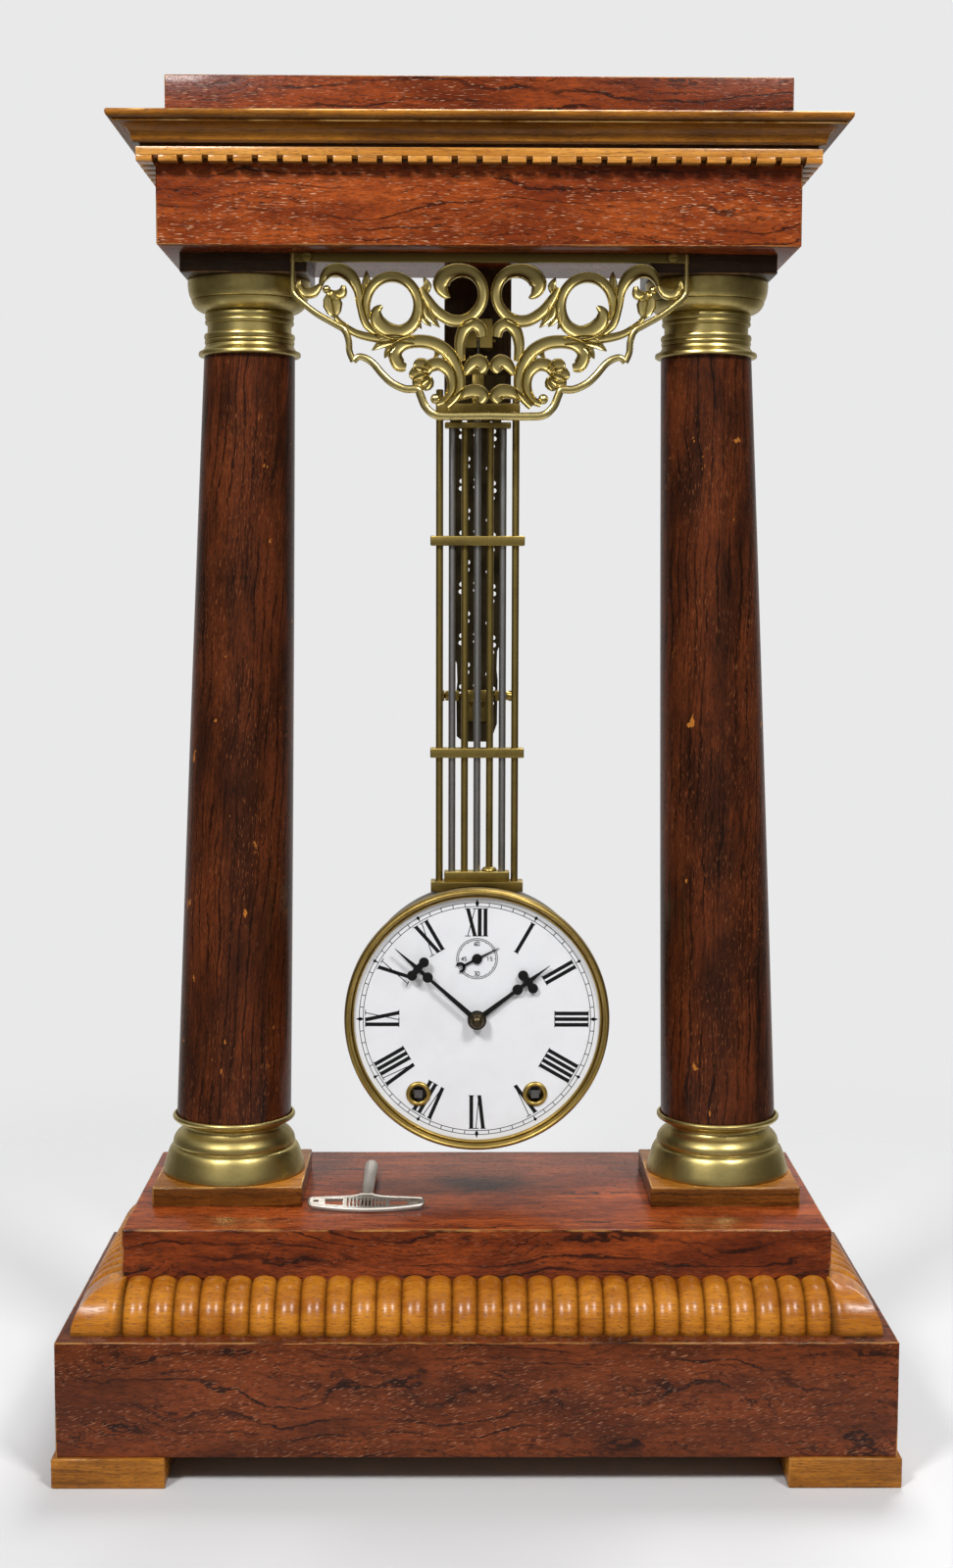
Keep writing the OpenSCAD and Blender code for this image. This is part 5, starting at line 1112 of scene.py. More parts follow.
FRET_EDGE_LOW = [(56.4, 44.6), (54.4, 42.8), (51.6, 43.2), (48.2, 45.4), (44.4, 49.8), (40.4, 53.4),
                 (35, 55.8), (30, 56), (28.6, 58.4), (26.6, 63), (22.6, 66.4), (16, 67), (0, 66.8)]
BUD_TOP, BUD, BUD_FOOT = (66.1, 16.4), (64.9, 21.6), (64.1, 26.8)
print("bands:", len(FRET_BANDS), "leaves:", len(FRET_LEAVES), "on each half")

# %% The pierced ornament
BAND_FULL = 1.12  # the dished bands are a little wider than their written widths
BAND_RISE, LEAF_RISE, BUD_RISE, VEIN_RISE = 0.94, 0.9, 1.15, 1.2  # shares of the ornament's thickness
BAR_H, BAR_BACK = 4.2, 0.5  # the straight bar along the top, and how far it is set back
VEIN_APART = 2.2
shape = Shape()
# The top bar takes the full hollow mark, so it is tarnished all over: painted shade for the shadow of the
# frieze above it
block(shape, (fret_low.x, fret_low.y + BAR_BACK, fret_top - BAR_H), (fret_high.x, fret_back, fret_top), 0.5,
      3, hollow=1.0)
for side in (-1, 1):
    for points, widths in FRET_BANDS:
        band(shape, points, [BAND_FULL * width for width in widths], side=side, height=BAND_RISE)
    for points, width in FRET_LEAVES:
        band(shape, points, (0.7, 0.8 * width, width, 0.6 * width, 0.15), LEAF_SECTION, side, LEAF_RISE)
    for right, down, radius in FRET_BOSSES:
        boss(shape, right, down, radius, side)
    band(shape, FRET_EDGE, (2.2, 2.6, 2.9, 2.7), ROUND_SECTION, side)
    band(shape, FRET_EDGE_LOW, (2.7, 3.2, 3.4, 3.4), ROUND_SECTION, side)
    band(shape, [BUD_TOP, BUD, BUD_FOOT], (1.8, 6.8, 8.2, 6.0, 1.2), LEAF_SECTION, side, BUD_RISE)
    for right in (BUD[0] - VEIN_APART, BUD[0] + VEIN_APART):
        band(shape, [BUD_TOP, (right, BUD[1]), BUD_FOOT], (0.6, 1.0, 1.1, 1.0, 0.6), ROUND_SECTION, side,
             VEIN_RISE)
hang(shape, "pierced_ornament", "case", "fret_brass", "fret", sharp=50)

# %% [markdown]
# Pierced plates
# Behind the pendulum hangs a dark strip that is pierced with rows of small holes, so that the light
# background shows through as dots. A Boolean for each hole would be slow and untidy. A flat outline
# with smaller loops inside it can be filled in one go, and the filled face is then drawn out to a plate.


# %% Plates with holes
def circle(centre_x, centre_z, radius, steps=14):
    """Points of a circle."""
    return [(centre_x + radius * math.cos(2 * math.pi * k / steps),
             centre_z + radius * math.sin(2 * math.pi * k / steps)) for k in range(steps)]


def plate(shape, outline, holes, place, near, far):
    """A plate between two levels; place turns a flat point and a level into a spot."""
    bm = bmesh.new()
    edges = []
    for loop in [outline] + holes:
        verts = [bm.verts.new((p[0], p[1], 0.0)) for p in loop]
        edges += [bm.edges.new((a, b)) for a, b in zip(verts, verts[1:] + verts[:1])]
    bmesh.ops.triangle_fill(bm, use_beauty=True, use_dissolve=False, edges=edges)
    made = bmesh.ops.extrude_face_region(bm, geom=bm.faces[:])
    for v in bm.verts:
        v.co.z = near
    for v in (item for item in made["geom"] if isinstance(item, bmesh.types.BMVert)):
        v.co.z = far
    for v in bm.verts:
        v.co = place(v.co.x, v.co.y, v.co.z)
    take(shape, bm)


def upright(x, z, level):
    """Stands a flat point up, with the level as its depth."""
    return (x, level, z)


print("a hole has", len(circle(0, 0, 1)), "corners")

# %% The pierced strip
# A point of the edge: its share of the half width, and how far down it lies as a share of the height
STRIP_EDGE = [(1.0, 0.0), (1.0, 0.09), (0.86, 0.11), (0.86, 0.14), (1.0, 0.17), (1.0, 0.30), (0.88, 0.32),
              (0.88, 0.37), (1.0, 0.39), (1.0, 0.52), (0.84, 0.55), (0.84, 0.6), (0.92, 0.63),
              (0.9, 0.72), (0.74, 0.75), (0.72, 0.8), (0.76, 0.83), (0.74, 0.95), (0.5, 1.0)]
LEFT_LAG = 0.035  # the left edge has the same waves a little lower
WAVE, WAVE_HOLES, HOLE_R = 22.4, 7, 1.05
HOLES_START, HOLES_ROOM = 20, 34  # where the holes start, and the height that has none
HOLE_ROWS = (
    # place across, sway, step up, and which holes of a wave are there
    (-5.6, -1.5, 0.0, (0, 1, 2, 4, 5, 6)),
    (5.9, 1.4, -0.9, (0, 1, 2, 3, 4, 6)),
    (-0.2, -0.5, 0.6, (1, 2)),
)
low, high = node_box("impulse_arm")
rise = high.z - low.z
left_edge = [(share, min(1.0, down + LEFT_LAG) if 0 < down < 1 else down) for share, down in STRIP_EDGE]
outline = [(share * high.x, high.z - down * rise) for share, down in STRIP_EDGE]
outline += mirrored([(share * high.x, high.z - down * rise) for share, down in left_edge])
step = WAVE / WAVE_HOLES
holes = []
for k in range(int((rise - HOLES_ROOM) / step)):
    swing = math.sin(2 * math.pi * k / WAVE_HOLES)
    for across, sway, up, there in HOLE_ROWS:
        if k % WAVE_HOLES in there:
            holes.append(circle(across + sway * swing, high.z - HOLES_START - k * step + up, HOLE_R))
shape = Shape()
plate(shape, outline, holes, upright, low.y, high.y)
# The strip, a brass sheet that hangs in shade, wears the dark bronze finish: its darkness is painted shade
hang(shape, "pierced_strip", "case", "dark_bronze", "impulse_arm")

# %% [markdown]
# The beat screw
# A short screw across the foot of the strip moves the fork that gives the pendulum its impulse. It has
# a knurled nut on the left and a wing nut on the right. The knurls are a ring whose points lie
# alternately further out and further in, drawn along the screw.

# %% The screw and its nuts
THREAD_PITCH, THREAD_RINGS, THREAD_R = 0.45, 66, (1.2, 0.9)
SCREW_START, SCREW_INSET = 1.0, 2.6  # from the end of the screw's box, and from its top and back
NUTS = ((0.0, 1.8, 2.4), (2.1, 4.0, 2.2))  # start, end and radius of the knurled nut and its lock nut
KNURLS, KNURL_DEEP, NUT_CHAMFER = 36, 0.35, 0.3
WING_HUB = [(0, 1.7), (0.4, 2.0), (2.2, 1.8), (3.1, 1.5), (3.5, 1.2)]
WING = [(0.7, 1.0), (1.0, 2.0), (2.0, 2.3), (3.0, 2.15), (2.6, 1.2)]
WING_HALF = 0.4
beat_low, beat_high = node_box("beat_adjuster")
screw = Vector((0.0, beat_high.y - SCREW_INSET, beat_high.z - SCREW_INSET))
hub = beat_high.x - WING_HUB[-1][0]


def ring_along_x(x, centre, radii):
    """A ring of points across the X axis, whose radii take turns."""
    count = len(radii)
    return [(x, centre.y + radii[i] * math.cos(2 * math.pi * i / count),
             centre.z + radii[i] * math.sin(2 * math.pi * i / count)) for i in range(count)]


shape = Shape()
loft(shape, [ring_along_x(beat_low.x + SCREW_START + THREAD_PITCH * k, screw, [THREAD_R[k % 2]] * 20)
             for k in range(THREAD_RINGS)])
for start, end, radius in NUTS:
    knurl = [radius if i % 2 else radius - KNURL_DEEP for i in range(KNURLS)]
    small = [r - KNURL_DEEP for r in knurl]
    loft(shape, [ring_along_x(beat_low.x + x, screw, radii) for x, radii in (
        (start, small), (start + NUT_CHAMFER, knurl), (end - NUT_CHAMFER, knurl), (end, small))])
loft(shape, [ring_along_x(hub + x, screw, [r] * 20) for x, r in WING_HUB])
for turn in (-1, 1):
    loft(shape, [[(hub + x, screw.y + depth, screw.z + turn * up) for x, up in WING]
                 for depth in (-WING_HALF, WING_HALF)])
print("the screw has", len(shape.faces), "faces")

# %% The fork
FORK_HALF, FORK_SLOT, FORK_PLATE, FORK_FRONT = 4.5, 1.2, 1.5, 2.4
LUG_AT, LUG_HALF, LUG_REACH = 9.0, 1.2, 2.2
block(shape, (-FORK_HALF, screw.y - FORK_FRONT, screw.z - SCREW_INSET),
      (FORK_HALF, beat_high.y, beat_high.z), 0.4)
for tine in (-1, 1):
    inner, outer = sorted((tine * FORK_SLOT, tine * FORK_HALF))
    block(shape, (inner, beat_high.y - FORK_PLATE, beat_low.z), (outer, beat_high.y, screw.z), 0.3)
for lug in (-LUG_AT, LUG_AT):
    block(shape, (lug - LUG_HALF, screw.y - LUG_REACH, screw.z - LUG_REACH),
          (lug + LUG_HALF, beat_high.y, screw.z + LUG_REACH), 0.3)
hang(shape, "beat_screw", "case", "aged_brass", "beat_adjuster")

# %% [markdown]
# The gridiron
# Seven rods, four of brass and three of steel, make the pendulum: as steel grows in the warmth, brass
# grows more and lifts the bob back. Rods could be plain cylinders, but real ones have turned ends and
# sit in bars with broken edges, and one has a small nut at its foot.

# %% Rods with turned ends
ROD_FULL = 0.25  # the drawn rods are a little fuller than the CAD rods
ROD_END = 0.3  # chamfer at both ends
ROD_NUT = [(3.2, 0.0), (3.3, 0.5), (3.0, 1.2), (2.3, 1.7), (1.3, 1.9)]
NUT_ROD = 2  # counted from the left, from 0
FOOT_BAR_REACH = 8  # the lowest bar lies within this height over the yoke


def rod_set(node):
    """Upright rods with chamfered ends, one for each solid of the node."""
    shape = Shape()
    for low, high in solid_boxes(node):
        spot = (low + high) / 2
        spot.z = low.z
        radius, length = (high.y - low.y) / 2 + ROD_FULL, high.z - low.z
        lathe(shape, [(radius - ROD_END, 0), (radius, ROD_END), (radius, length / 2),
                      (radius, length - ROD_END), (radius - ROD_END, length)], spot, steps=28)
    return shape


shape = rod_set("brass_rods")
yoke_top = node_box("lower_yoke")[1].z
low, high = solid_boxes("brass_rods")[NUT_ROD]
spot = (low + high) / 2
spot.z = max(top.z for _, top in solid_boxes("gridiron_bars") if top.z < yoke_top + FOOT_BAR_REACH)
lathe(shape, ROD_NUT, spot, steps=32)
hang(shape, "brass_rod_set", "pendulum", "aged_brass", "brass_rods")
hang(rod_set("steel_rods"), "steel_rod_set", "pendulum", "rod_steel", "steel_rods")

# %% Bars and hook
shape = Shape()
for low, high in solid_boxes("gridiron_bars"):
    block(shape, low, high, 0.45, 3)
hang(shape, "grid_bars", "pendulum", "aged_brass", "gridiron_bars")
HOOK_THIN = 0.5  # the bar and the neck are thinner than the head on both sides
HOOK_BAR, HOOK_NECK, HOOK_HEAD = 5, 2.5, (4.0, 8)  # height, half width, and half width and height
HOOK_LAP = 1  # how far the neck reaches into the bar and into the head
low, high = node_box("pendulum_hook")
near, far = low.y + HOOK_THIN, high.y - HOOK_THIN
head_half, head_foot = HOOK_HEAD[0], high.z - HOOK_HEAD[1]
shape = Shape()
block(shape, (low.x, near, low.z), (high.x, far, low.z + HOOK_BAR), 0.5, 3)
block(shape, (-HOOK_NECK, near, low.z + HOOK_BAR - HOOK_LAP), (HOOK_NECK, far, head_foot + HOOK_LAP), 0.4)
block(shape, (-head_half, low.y, head_foot), (head_half, high.y, high.z), 0.6, 3)
hang(shape, "grid_hook", "pendulum", "aged_brass", "pendulum_hook")


# %% The saddle of the yoke
def prism(shape, outline, place, near, far, round_r=0.15, hollow=0.0):
    """A drawn-out outline with softened edges."""
    bm = bmesh.new()
    verts = [[bm.verts.new(place(a, b, level)) for a, b in outline] for level in (near, far)]
    count = len(outline)
    rims = [bm.faces.new(verts[0]), bm.faces.new(verts[1][::-1])]
    for i in range(count):
        k = (i + 1) % count
        bm.faces.new((verts[0][k], verts[0][i], verts[1][i], verts[1][k]))
    bmesh.ops.recalc_face_normals(bm, faces=bm.faces)
    bm.normal_update()
    if round_r:
        edges = [*rims[0].edges, *rims[1].edges]
        bmesh.ops.bevel(bm, geom=edges, offset=round_r, segments=2, profile=0.5, affect="EDGES")
    take(shape, bm, hollow=hollow)


SADDLE_HALF, YOKE_BAR, SADDLE_STEPS = 17.0, 4.4, 16
DRUM_CLEAR = 0.1  # between the saddle and the drum
low, high = node_box("lower_yoke")
drum_low, drum_high = node_box("drum_case")
drum_middle = middle("bezel")
drum_r = (drum_high.x - drum_low.x) / 2 + DRUM_CLEAR
bar_low = high.z - YOKE_BAR
outline = [(low.x, high.z), (high.x, high.z), (high.x, bar_low), (SADDLE_HALF, bar_low)]
outline += [(x, drum_middle.z + math.sqrt(drum_r ** 2 - x ** 2)) for x in (
    SADDLE_HALF - 2 * SADDLE_HALF * k / SADDLE_STEPS for k in range(SADDLE_STEPS + 1))]
outline += [(-SADDLE_HALF, bar_low), (low.x, bar_low)]
shape = Shape()
prism(shape, outline, upright, low.y, high.y, 0.3)
hang(shape, "yoke_saddle", "pendulum", "aged_brass", "lower_yoke")

# %% [markdown]
# Slotted screws
# Two screws hold the ornament to the blocks, and others hold the strip to its board. A head could be a
# plain disc with a dark line for the slot. Here each head is a disc with two half discs on it, so that
# the slot between them is a real gap that catches a shadow.

# %% The case screws
SLOT_HALF, SLOT_DEEP, HEAD_H, SHANK_SHARE = 0.25, 0.5, 1.0, 0.45
HEAD_STEPS = 16
shape = Shape()
for low, high in solid_boxes("case_screws"):
    spot = (low + high) / 2
    radius = (high.x - low.x) / 2
    head_back, slot_floor = low.y + HEAD_H, low.y + SLOT_DEEP
    shank_r = radius * SHANK_SHARE
    lathe(shape, [(shank_r, high.y), (shank_r, head_back), (radius, head_back), (radius, slot_floor)],
          (spot.x, 0, spot.z), axis=1, steps=32)
    rise = math.asin(SLOT_HALF / radius)
    half_disc = [(radius * math.cos(a), radius * math.sin(a)) for a in (
        rise + (math.pi - 2 * rise) * k / HEAD_STEPS for k in range(HEAD_STEPS + 1))]
    for turn in (-1, 1):
        prism(shape, [(x, turn * z) for x, z in half_disc],
              lambda x, z, level: (spot.x + x, level, spot.z + z), slot_floor, low.y)
hang(shape, "slotted_screws", "case", "fret_brass", "case_screws", finish="aged_brass")

# %% [markdown]
# The bezel, the dial and its print
# The dial is a white disc in a turned brass bezel. Its numerals, minute ring and seconds ring are
# printed. An image of a dial would blur close up, so each mark is a very thin slab of its own: thick
# and thin strokes with hair serifs, turned so that every numeral stands with its feet to the centre.

# %% The bezel and the winding rims
BEZEL_LIP, BEZEL_SEAT, BEZEL_WALL = 52.3, 53.65, 54.4
low, high = node_box("bezel")
bezel_r = (high.x - low.x) / 2
dial_front = node_box("dial")[0].y
BEZEL_FACE = [(BEZEL_LIP, -13.9), (52.45, -14.5), (52.8, -14.8), (53.15, -14.6), (53.3, -14.2)]
BEZEL_ROUND = [(53.45, -15.0), (53.8, -16.0), (54.4, -16.9), (55.1, low.y), (55.7, -16.7), (56.15, -15.6),
               (bezel_r, -13.8), (bezel_r, -11.4)]
bezel_profile = [(BEZEL_SEAT, high.y), (BEZEL_SEAT, dial_front), (BEZEL_LIP, dial_front)]
bezel_profile += flowing(BEZEL_FACE, 4) + flowing(BEZEL_ROUND, 5)
bezel_profile += [(bezel_r - 0.2, -10.4), (55.6, -9.8), (BEZEL_WALL, -9.2), (BEZEL_WALL, high.y)]
shape = Shape()
lathe(shape, bezel_profile, (drum_middle.x, 0, drum_middle.z), axis=1, steps=192, joined=True)
hang(shape, "bezel_ring", "pendulum", "bezel_brass", "bezel", sharp=50)
RIM_BORE, RIM_NECK = 3.3, 4.1
RIM_ROUND = [(RIM_BORE, 0.9), (3.5, 0.35), (4.0, 0.0), (4.5, 0.05)]  # radius, depth behind the front
shape = Shape()
for low, high in solid_boxes("winding_grommets"):
    spot = (low + high) / 2
    outer = (high.x - low.x) / 2
    rim = [(RIM_BORE, high.y)] + [(r, low.y + depth) for r, depth in RIM_ROUND + [(outer - 0.1, 0.5)]]
    rim += [(outer, dial_front), (RIM_NECK, dial_front), (RIM_NECK, high.y)]
    lathe(shape, rim, (spot.x, 0, spot.z), axis=1, steps=64, joined=True)
hang(shape, "winding_rims", "pendulum", "bezel_brass", "winding_grommets", sharp=50)

# %% Marks of the dial
INK, INK_ROOT = 0.05, 0.02  # how far the print stands out, and how far it reaches into the enamel
print_back, print_front = dial_front + INK_ROOT, dial_front - INK


def dial_spot(angle, centre):
    """Turns (across, outward) at an angle from twelve, clockwise, into a spot on the dial."""
    sine, cosine = math.sin(math.radians(angle)), math.cos(math.radians(angle))

    def place(across, out, level):
        return (centre.x + out * sine + across * cosine, level, centre.z + out * cosine - across * sine)
    return place


def mark(shape, outline, angle, centre=drum_middle):
    """One printed mark, given by its outline at twelve."""
    prism(shape, outline, dial_spot(angle, centre), print_back, print_front, 0)


def stroke(a, b, width):
    """The outline of a straight stroke between two points, cut level at both ends."""
    return [(a[0] - width / 2, a[1]), (a[0] + width / 2, a[1]), (b[0] + width / 2, b[1]),
            (b[0] - width / 2, b[1])]


def printed_ring(shape, radius, width, centre=drum_middle, steps=180):
    """One printed circle."""
    inner, outer = radius - width / 2, radius + width / 2
    lathe(shape, [(inner, print_back), (outer, print_back), (outer, print_front), (inner, print_front)],
          (centre.x, 0, centre.z), axis=1, steps=steps, joined=True)


print("the print stands", INK, "mm out of the enamel")

# %% Roman numerals
NUMERALS = ("XII", "I", "II", "III", "IIII", "V", "VI", "VII", "VIII", "IX", "X", "XI")
NUMERAL_IN, NUMERAL_OUT = 33.0, 47.6
TWELVE_IN = 35.6  # the twelve stops at the seconds ring
THICK, THIN = 1.6, 0.36
SERIF, SERIF_HALF, SERIF_ROOM = 0.34, 1.15, 0.75
ADVANCE = {"I": 2.45, "V": 4.6, "X": 4.6}
V_FEET = (0.15, 0.35)  # how far right of the middle the two strokes of a V end


def numeral(shape, letters, angle, inner):
    """A numeral with its feet to the centre."""
    place = -sum(ADVANCE[c] for c in letters) / 2
    for c in letters:
        mid = place + ADVANCE[c] / 2
        reach = ADVANCE[c] / 2 - SERIF_ROOM
        left, right = mid - reach, mid + reach
        if c == "I":
            strokes = ((mid, mid, THICK),)
            feet = ((mid, inner), (mid, NUMERAL_OUT))
        elif c == "V":
            strokes = ((mid + V_FEET[0], left, THICK), (mid + V_FEET[1], right, THIN))
            feet = ((left, NUMERAL_OUT), (right, NUMERAL_OUT))
        else:
            strokes = ((right, left, THICK), (left, right, THIN))
            feet = ((left, inner), (right, inner), (left, NUMERAL_OUT), (right, NUMERAL_OUT))
        for foot, head, width in strokes:
            mark(shape, stroke((foot, inner), (head, NUMERAL_OUT), width), angle)
        for x, out in feet:
            end = out + (SERIF if out == inner else -SERIF)
            mark(shape, [(x - SERIF_HALF, out), (x + SERIF_HALF, out), (x + SERIF_HALF, end),
                         (x - SERIF_HALF, end)], angle)
        place += ADVANCE[c]


shape = Shape()
for hour, letters in enumerate(NUMERALS):
    numeral(shape, letters, 30 * hour, NUMERAL_IN if hour else TWELVE_IN)
print("numerals:", len(NUMERALS), "with", len(shape.faces), "faces")

# %% Minute ring and seconds ring
TRACK_IN, TRACK_OUT, TRACK_LINE, MINUTE_LINE = 48.4, 50.1, 0.28, 0.32
QUARTER_MARK = [(0, 48.0), (0.8, 49.6), (0, 51.6), (-0.8, 49.6)]
HOUR_MARK = [(0, 48.6), (0.75, 50.3), (0, 50.9), (-0.75, 50.3)]
SECONDS_IN, SECONDS_OUT, SECONDS_LINE, SECOND_LINE = 7.9, 8.7, 0.22, 0.2
FIFTH_LONGER = 0.5  # every fifth line of the seconds ring is longer
seconds_middle = middle("seconds_wheel")
for radius in (TRACK_IN, TRACK_OUT):
    printed_ring(shape, radius, TRACK_LINE)
for radius in (SECONDS_IN, SECONDS_OUT):
    printed_ring(shape, radius, SECONDS_LINE, seconds_middle, 96)
for count in range(60):
    angle, fifth = 6 * count, count % 5 == 0
    mark(shape, stroke((0, TRACK_IN), (0, TRACK_OUT), MINUTE_LINE), angle)
    if fifth:
        mark(shape, HOUR_MARK if count % 15 else QUARTER_MARK, angle)
    start = SECONDS_IN - (FIFTH_LONGER if fifth else 0.0)
    mark(shape, stroke((0, start), (0, SECONDS_OUT), SECOND_LINE), angle, seconds_middle)
print("with the rings:", len(shape.faces), "faces")

# %% Numbers of the seconds ring
DIGITS = {
    "0": [(0, 0), (0, 2), (1, 2), (1, 0), (0, 0)],
    "1": [(0.4, 0), (0.4, 2), (0.1, 1.6)],
    "3": [(0, 2), (1, 2), (0.4, 1.1), (1, 0.7), (0.8, 0), (0, 0.1)],
    "4": [(0.8, 0), (0.8, 2), (0, 0.7), (1.1, 0.7)],
    "5": [(1, 2), (0.1, 2), (0, 1.1), (0.9, 1.1), (1, 0.3), (0.5, 0), (0, 0.1)],
    "6": [(1, 1.9), (0.4, 1.8), (0, 0.9), (0.1, 0), (0.9, 0), (1, 0.9), (0, 0.9)],
}
DIGIT_W, DIGIT_H, DIGIT_STEP, DIGIT_START, PEN_HALF = 0.9, 0.8, 1.25, 0.95, 0.16
for text, right, up in (("60", 0, 5.6), ("15", 5.5, -0.9), ("30", 0, -7.2), ("45", -5.5, -0.9)):
    for i, digit in enumerate(text):
        start = right + (i - DIGIT_START) * DIGIT_STEP
        line = [Vector((start + DIGIT_W * x, up + DIGIT_H * z)) for x, z in DIGITS[digit]]
        for a, b in zip(line, line[1:]):
            pen = Vector((b.y - a.y, a.x - b.x)).normalized() * PEN_HALF
            mark(shape, [a + pen, a - pen, b - pen, b + pen], 0, seconds_middle)
hang(shape, "dial_print", "pendulum", "black_steel")

# %% [markdown]
# The hands
# The hands are cut from thin black steel: a tapered arm, a ball, a trefoil and a leaf-shaped point.
# One outline with all of that would be long and hard to change, so each hand is a few softened plates
# that overlap, as the parts of the drawing do.

# %% Hour and minute hand
HOUR_ANGLE, MINUTE_ANGLE = 53.0, 311.5
HUB_R, BALL_R, LOBE_R, ARM_START = 4.0, 2.25, 2.15, 2
ARM_THIN, NECK_THIN = 0.02, 0.03  # flat parts are thinner, so that no two faces lie in one plane


def pointer(name, body, node, angle, tip, ball_at, lobes_at, lobe_side, hub_half, ball_half):
    """A hand with a ball and a trefoil; hub_half and ball_half are half widths of its arm."""
    low, high = node_box(node)
    place = dial_spot(angle, drum_middle)
    shape = Shape()

    def part(outline, thin=0.0):
        prism(shape, outline, place, high.y - thin, low.y + thin, 0.12)

    neck = [(0.0, lobes_at - 1.4), (lobe_side, lobes_at - 1.0), (lobe_side, lobes_at + 1.2),
            (0.0, lobes_at + 1.9)]
    spike = flowing([(0.8, lobes_at), (0.85, lobes_at + 2.2), (0.62, lobes_at + 5), (0.3, tip - 3),
                     (0.1, tip)], 3)
    part(circle(0, 0, HUB_R, 40))
    part([(-hub_half, ARM_START), (hub_half, ARM_START), (ball_half, ball_at), (-ball_half, ball_at)],
         ARM_THIN)
    part(circle(0, ball_at, BALL_R, 28))
    part([(-0.75, ball_at), (0.75, ball_at), (0.95, lobes_at), (-0.95, lobes_at)], ARM_THIN)
    for outline in (neck, mirrored(neck)):
        part(outline, NECK_THIN)
    for turn in (-1, 1):
        part(circle(turn * lobe_side, lobes_at + 0.1, LOBE_R, 24))
    part(spike + mirrored(spike), ARM_THIN)
    hang(shape, name, body, "black_steel", node)


pointer("hour_pointer", "hours", "hour_hand", HOUR_ANGLE, 38.7, 21.6, 27.0, 3.5, 1.15, 0.7)
pointer("minute_pointer", "minutes", "minute_hand", MINUTE_ANGLE, 46.5, 27.9, 33.3, 3.8, 1.15, 0.65)

# %% Seconds hand
SECONDS_ANGLE, SECONDS_TIP = 63.0, 10.4
CRESCENT_AT, CRESCENT_R = -7.9, 2.2
BITE_R, BITE_BELOW = 1.25, 0.45  # the round that is cut out of the disc to leave a crescent
COLLAR_R, COLLAR_OUT = 1.5, 0.3
tail_end = CRESCENT_AT + 1.2
low, high = node_box("seconds_hand")
place = dial_spot(SECONDS_ANGLE, seconds_middle)
crescent = [(CRESCENT_R * math.sin(a), CRESCENT_AT + CRESCENT_R * math.cos(a))
            for a in angles(-130, 130, 20)]
crescent += [(BITE_R * math.sin(a), CRESCENT_AT - BITE_BELOW + BITE_R * math.cos(a))
             for a in angles(120, -120, 20)]
shape = Shape()
for outline in (circle(0, 0, 2.2, 32), [(-0.55, 0), (0.55, 0), (0.1, SECONDS_TIP), (-0.1, SECONDS_TIP)],
                [(-0.5, 0), (0.5, 0), (0.5, tail_end), (-0.5, tail_end)], crescent):
    prism(shape, outline, place, high.y, low.y, 0.08)
prism(shape, circle(0, 0, COLLAR_R, 32), place, high.y, low.y - COLLAR_OUT)
hang(shape, "seconds_pointer", "seconds", "black_steel", "seconds_hand")

# %% The domed nut
NUT_FLANGE, DOME_R, DOME_TOP = 1.0, 2.9, 3.95
low, high = node_box("hand_nut")
nut_r = (high.x - low.x) / 2
nut = [(nut_r, 0), (nut_r, 0.7), (nut_r - 0.3, NUT_FLANGE)]
nut += [(DOME_R * math.cos(a), NUT_FLANGE + DOME_R * math.sin(a)) for a in angles(0, 80, 8)]
nut.append((0.1, DOME_TOP))
shape = Shape()
lathe(shape, [(r, -h) for r, h in nut], (drum_middle.x, high.y, drum_middle.z), axis=1, steps=48)
hang(shape, "domed_nut", "minutes", "dark_bronze", "hand_nut")

# %% [markdown]
# The winding key
# The key lies on the step: a pressed wing with two windows and a row of slits, a round neck and a
# folded tube with a square mouth. The wing is a pierced plate with a rounded rim, and the tube is a
# skin whose last rings turn inside and change from round to square.

# %% The outline of the wing
key_low, key_high = node_box("winding_key")
key_x = (key_low.x + key_high.x) / 2
wing_half = (key_high.x - key_low.x) / 2
WING_BOW = 2.8  # how far the ends of the front edge lie back
WING_T, WING_RISE = 1.9, 0.46  # thickness, and the rise for each millimetre towards the neck
front_edge = [(x, WING_BOW * (x / wing_half) ** 2) for x in (wing_half * k / 12 for k in range(-11, 12))]
tip = [(wing_half - inwards, depth) for inwards, depth in (
    (0.9, 2.9), (0.15, 4.0), (0, 5.2), (0.5, 6.6), (1.6, 7.3))]
back_edge = [(17.0, 7.7), (10.0, 8.0), (6.0, 8.4), (3.8, 9.0), (2.6, 9.6)]
outline = front_edge + tip + back_edge + mirrored(tip + back_edge)


def inset(loop, amount):
    """Moves the points of a loop inwards, square to its edge."""
    out = []
    for i, p in enumerate(loop):
        a, b = Vector(loop[i - 1]), Vector(loop[(i + 1) % len(loop)])
        along = (b - a).normalized()
        out.append((p[0] - along.y * amount, p[1] + along.x * amount))
    return out


def lying(x, depth, level):
    """A spot of the key, from its middle, its front and the step."""
    return (key_x + x, key_low.y + depth, key_low.z + level)


def raised(x, depth, level):
    """A spot of the wing, which rises towards the neck."""
    return lying(x, depth, level + WING_RISE * depth)


print("the wing is", round(2 * wing_half, 1), "mm wide")

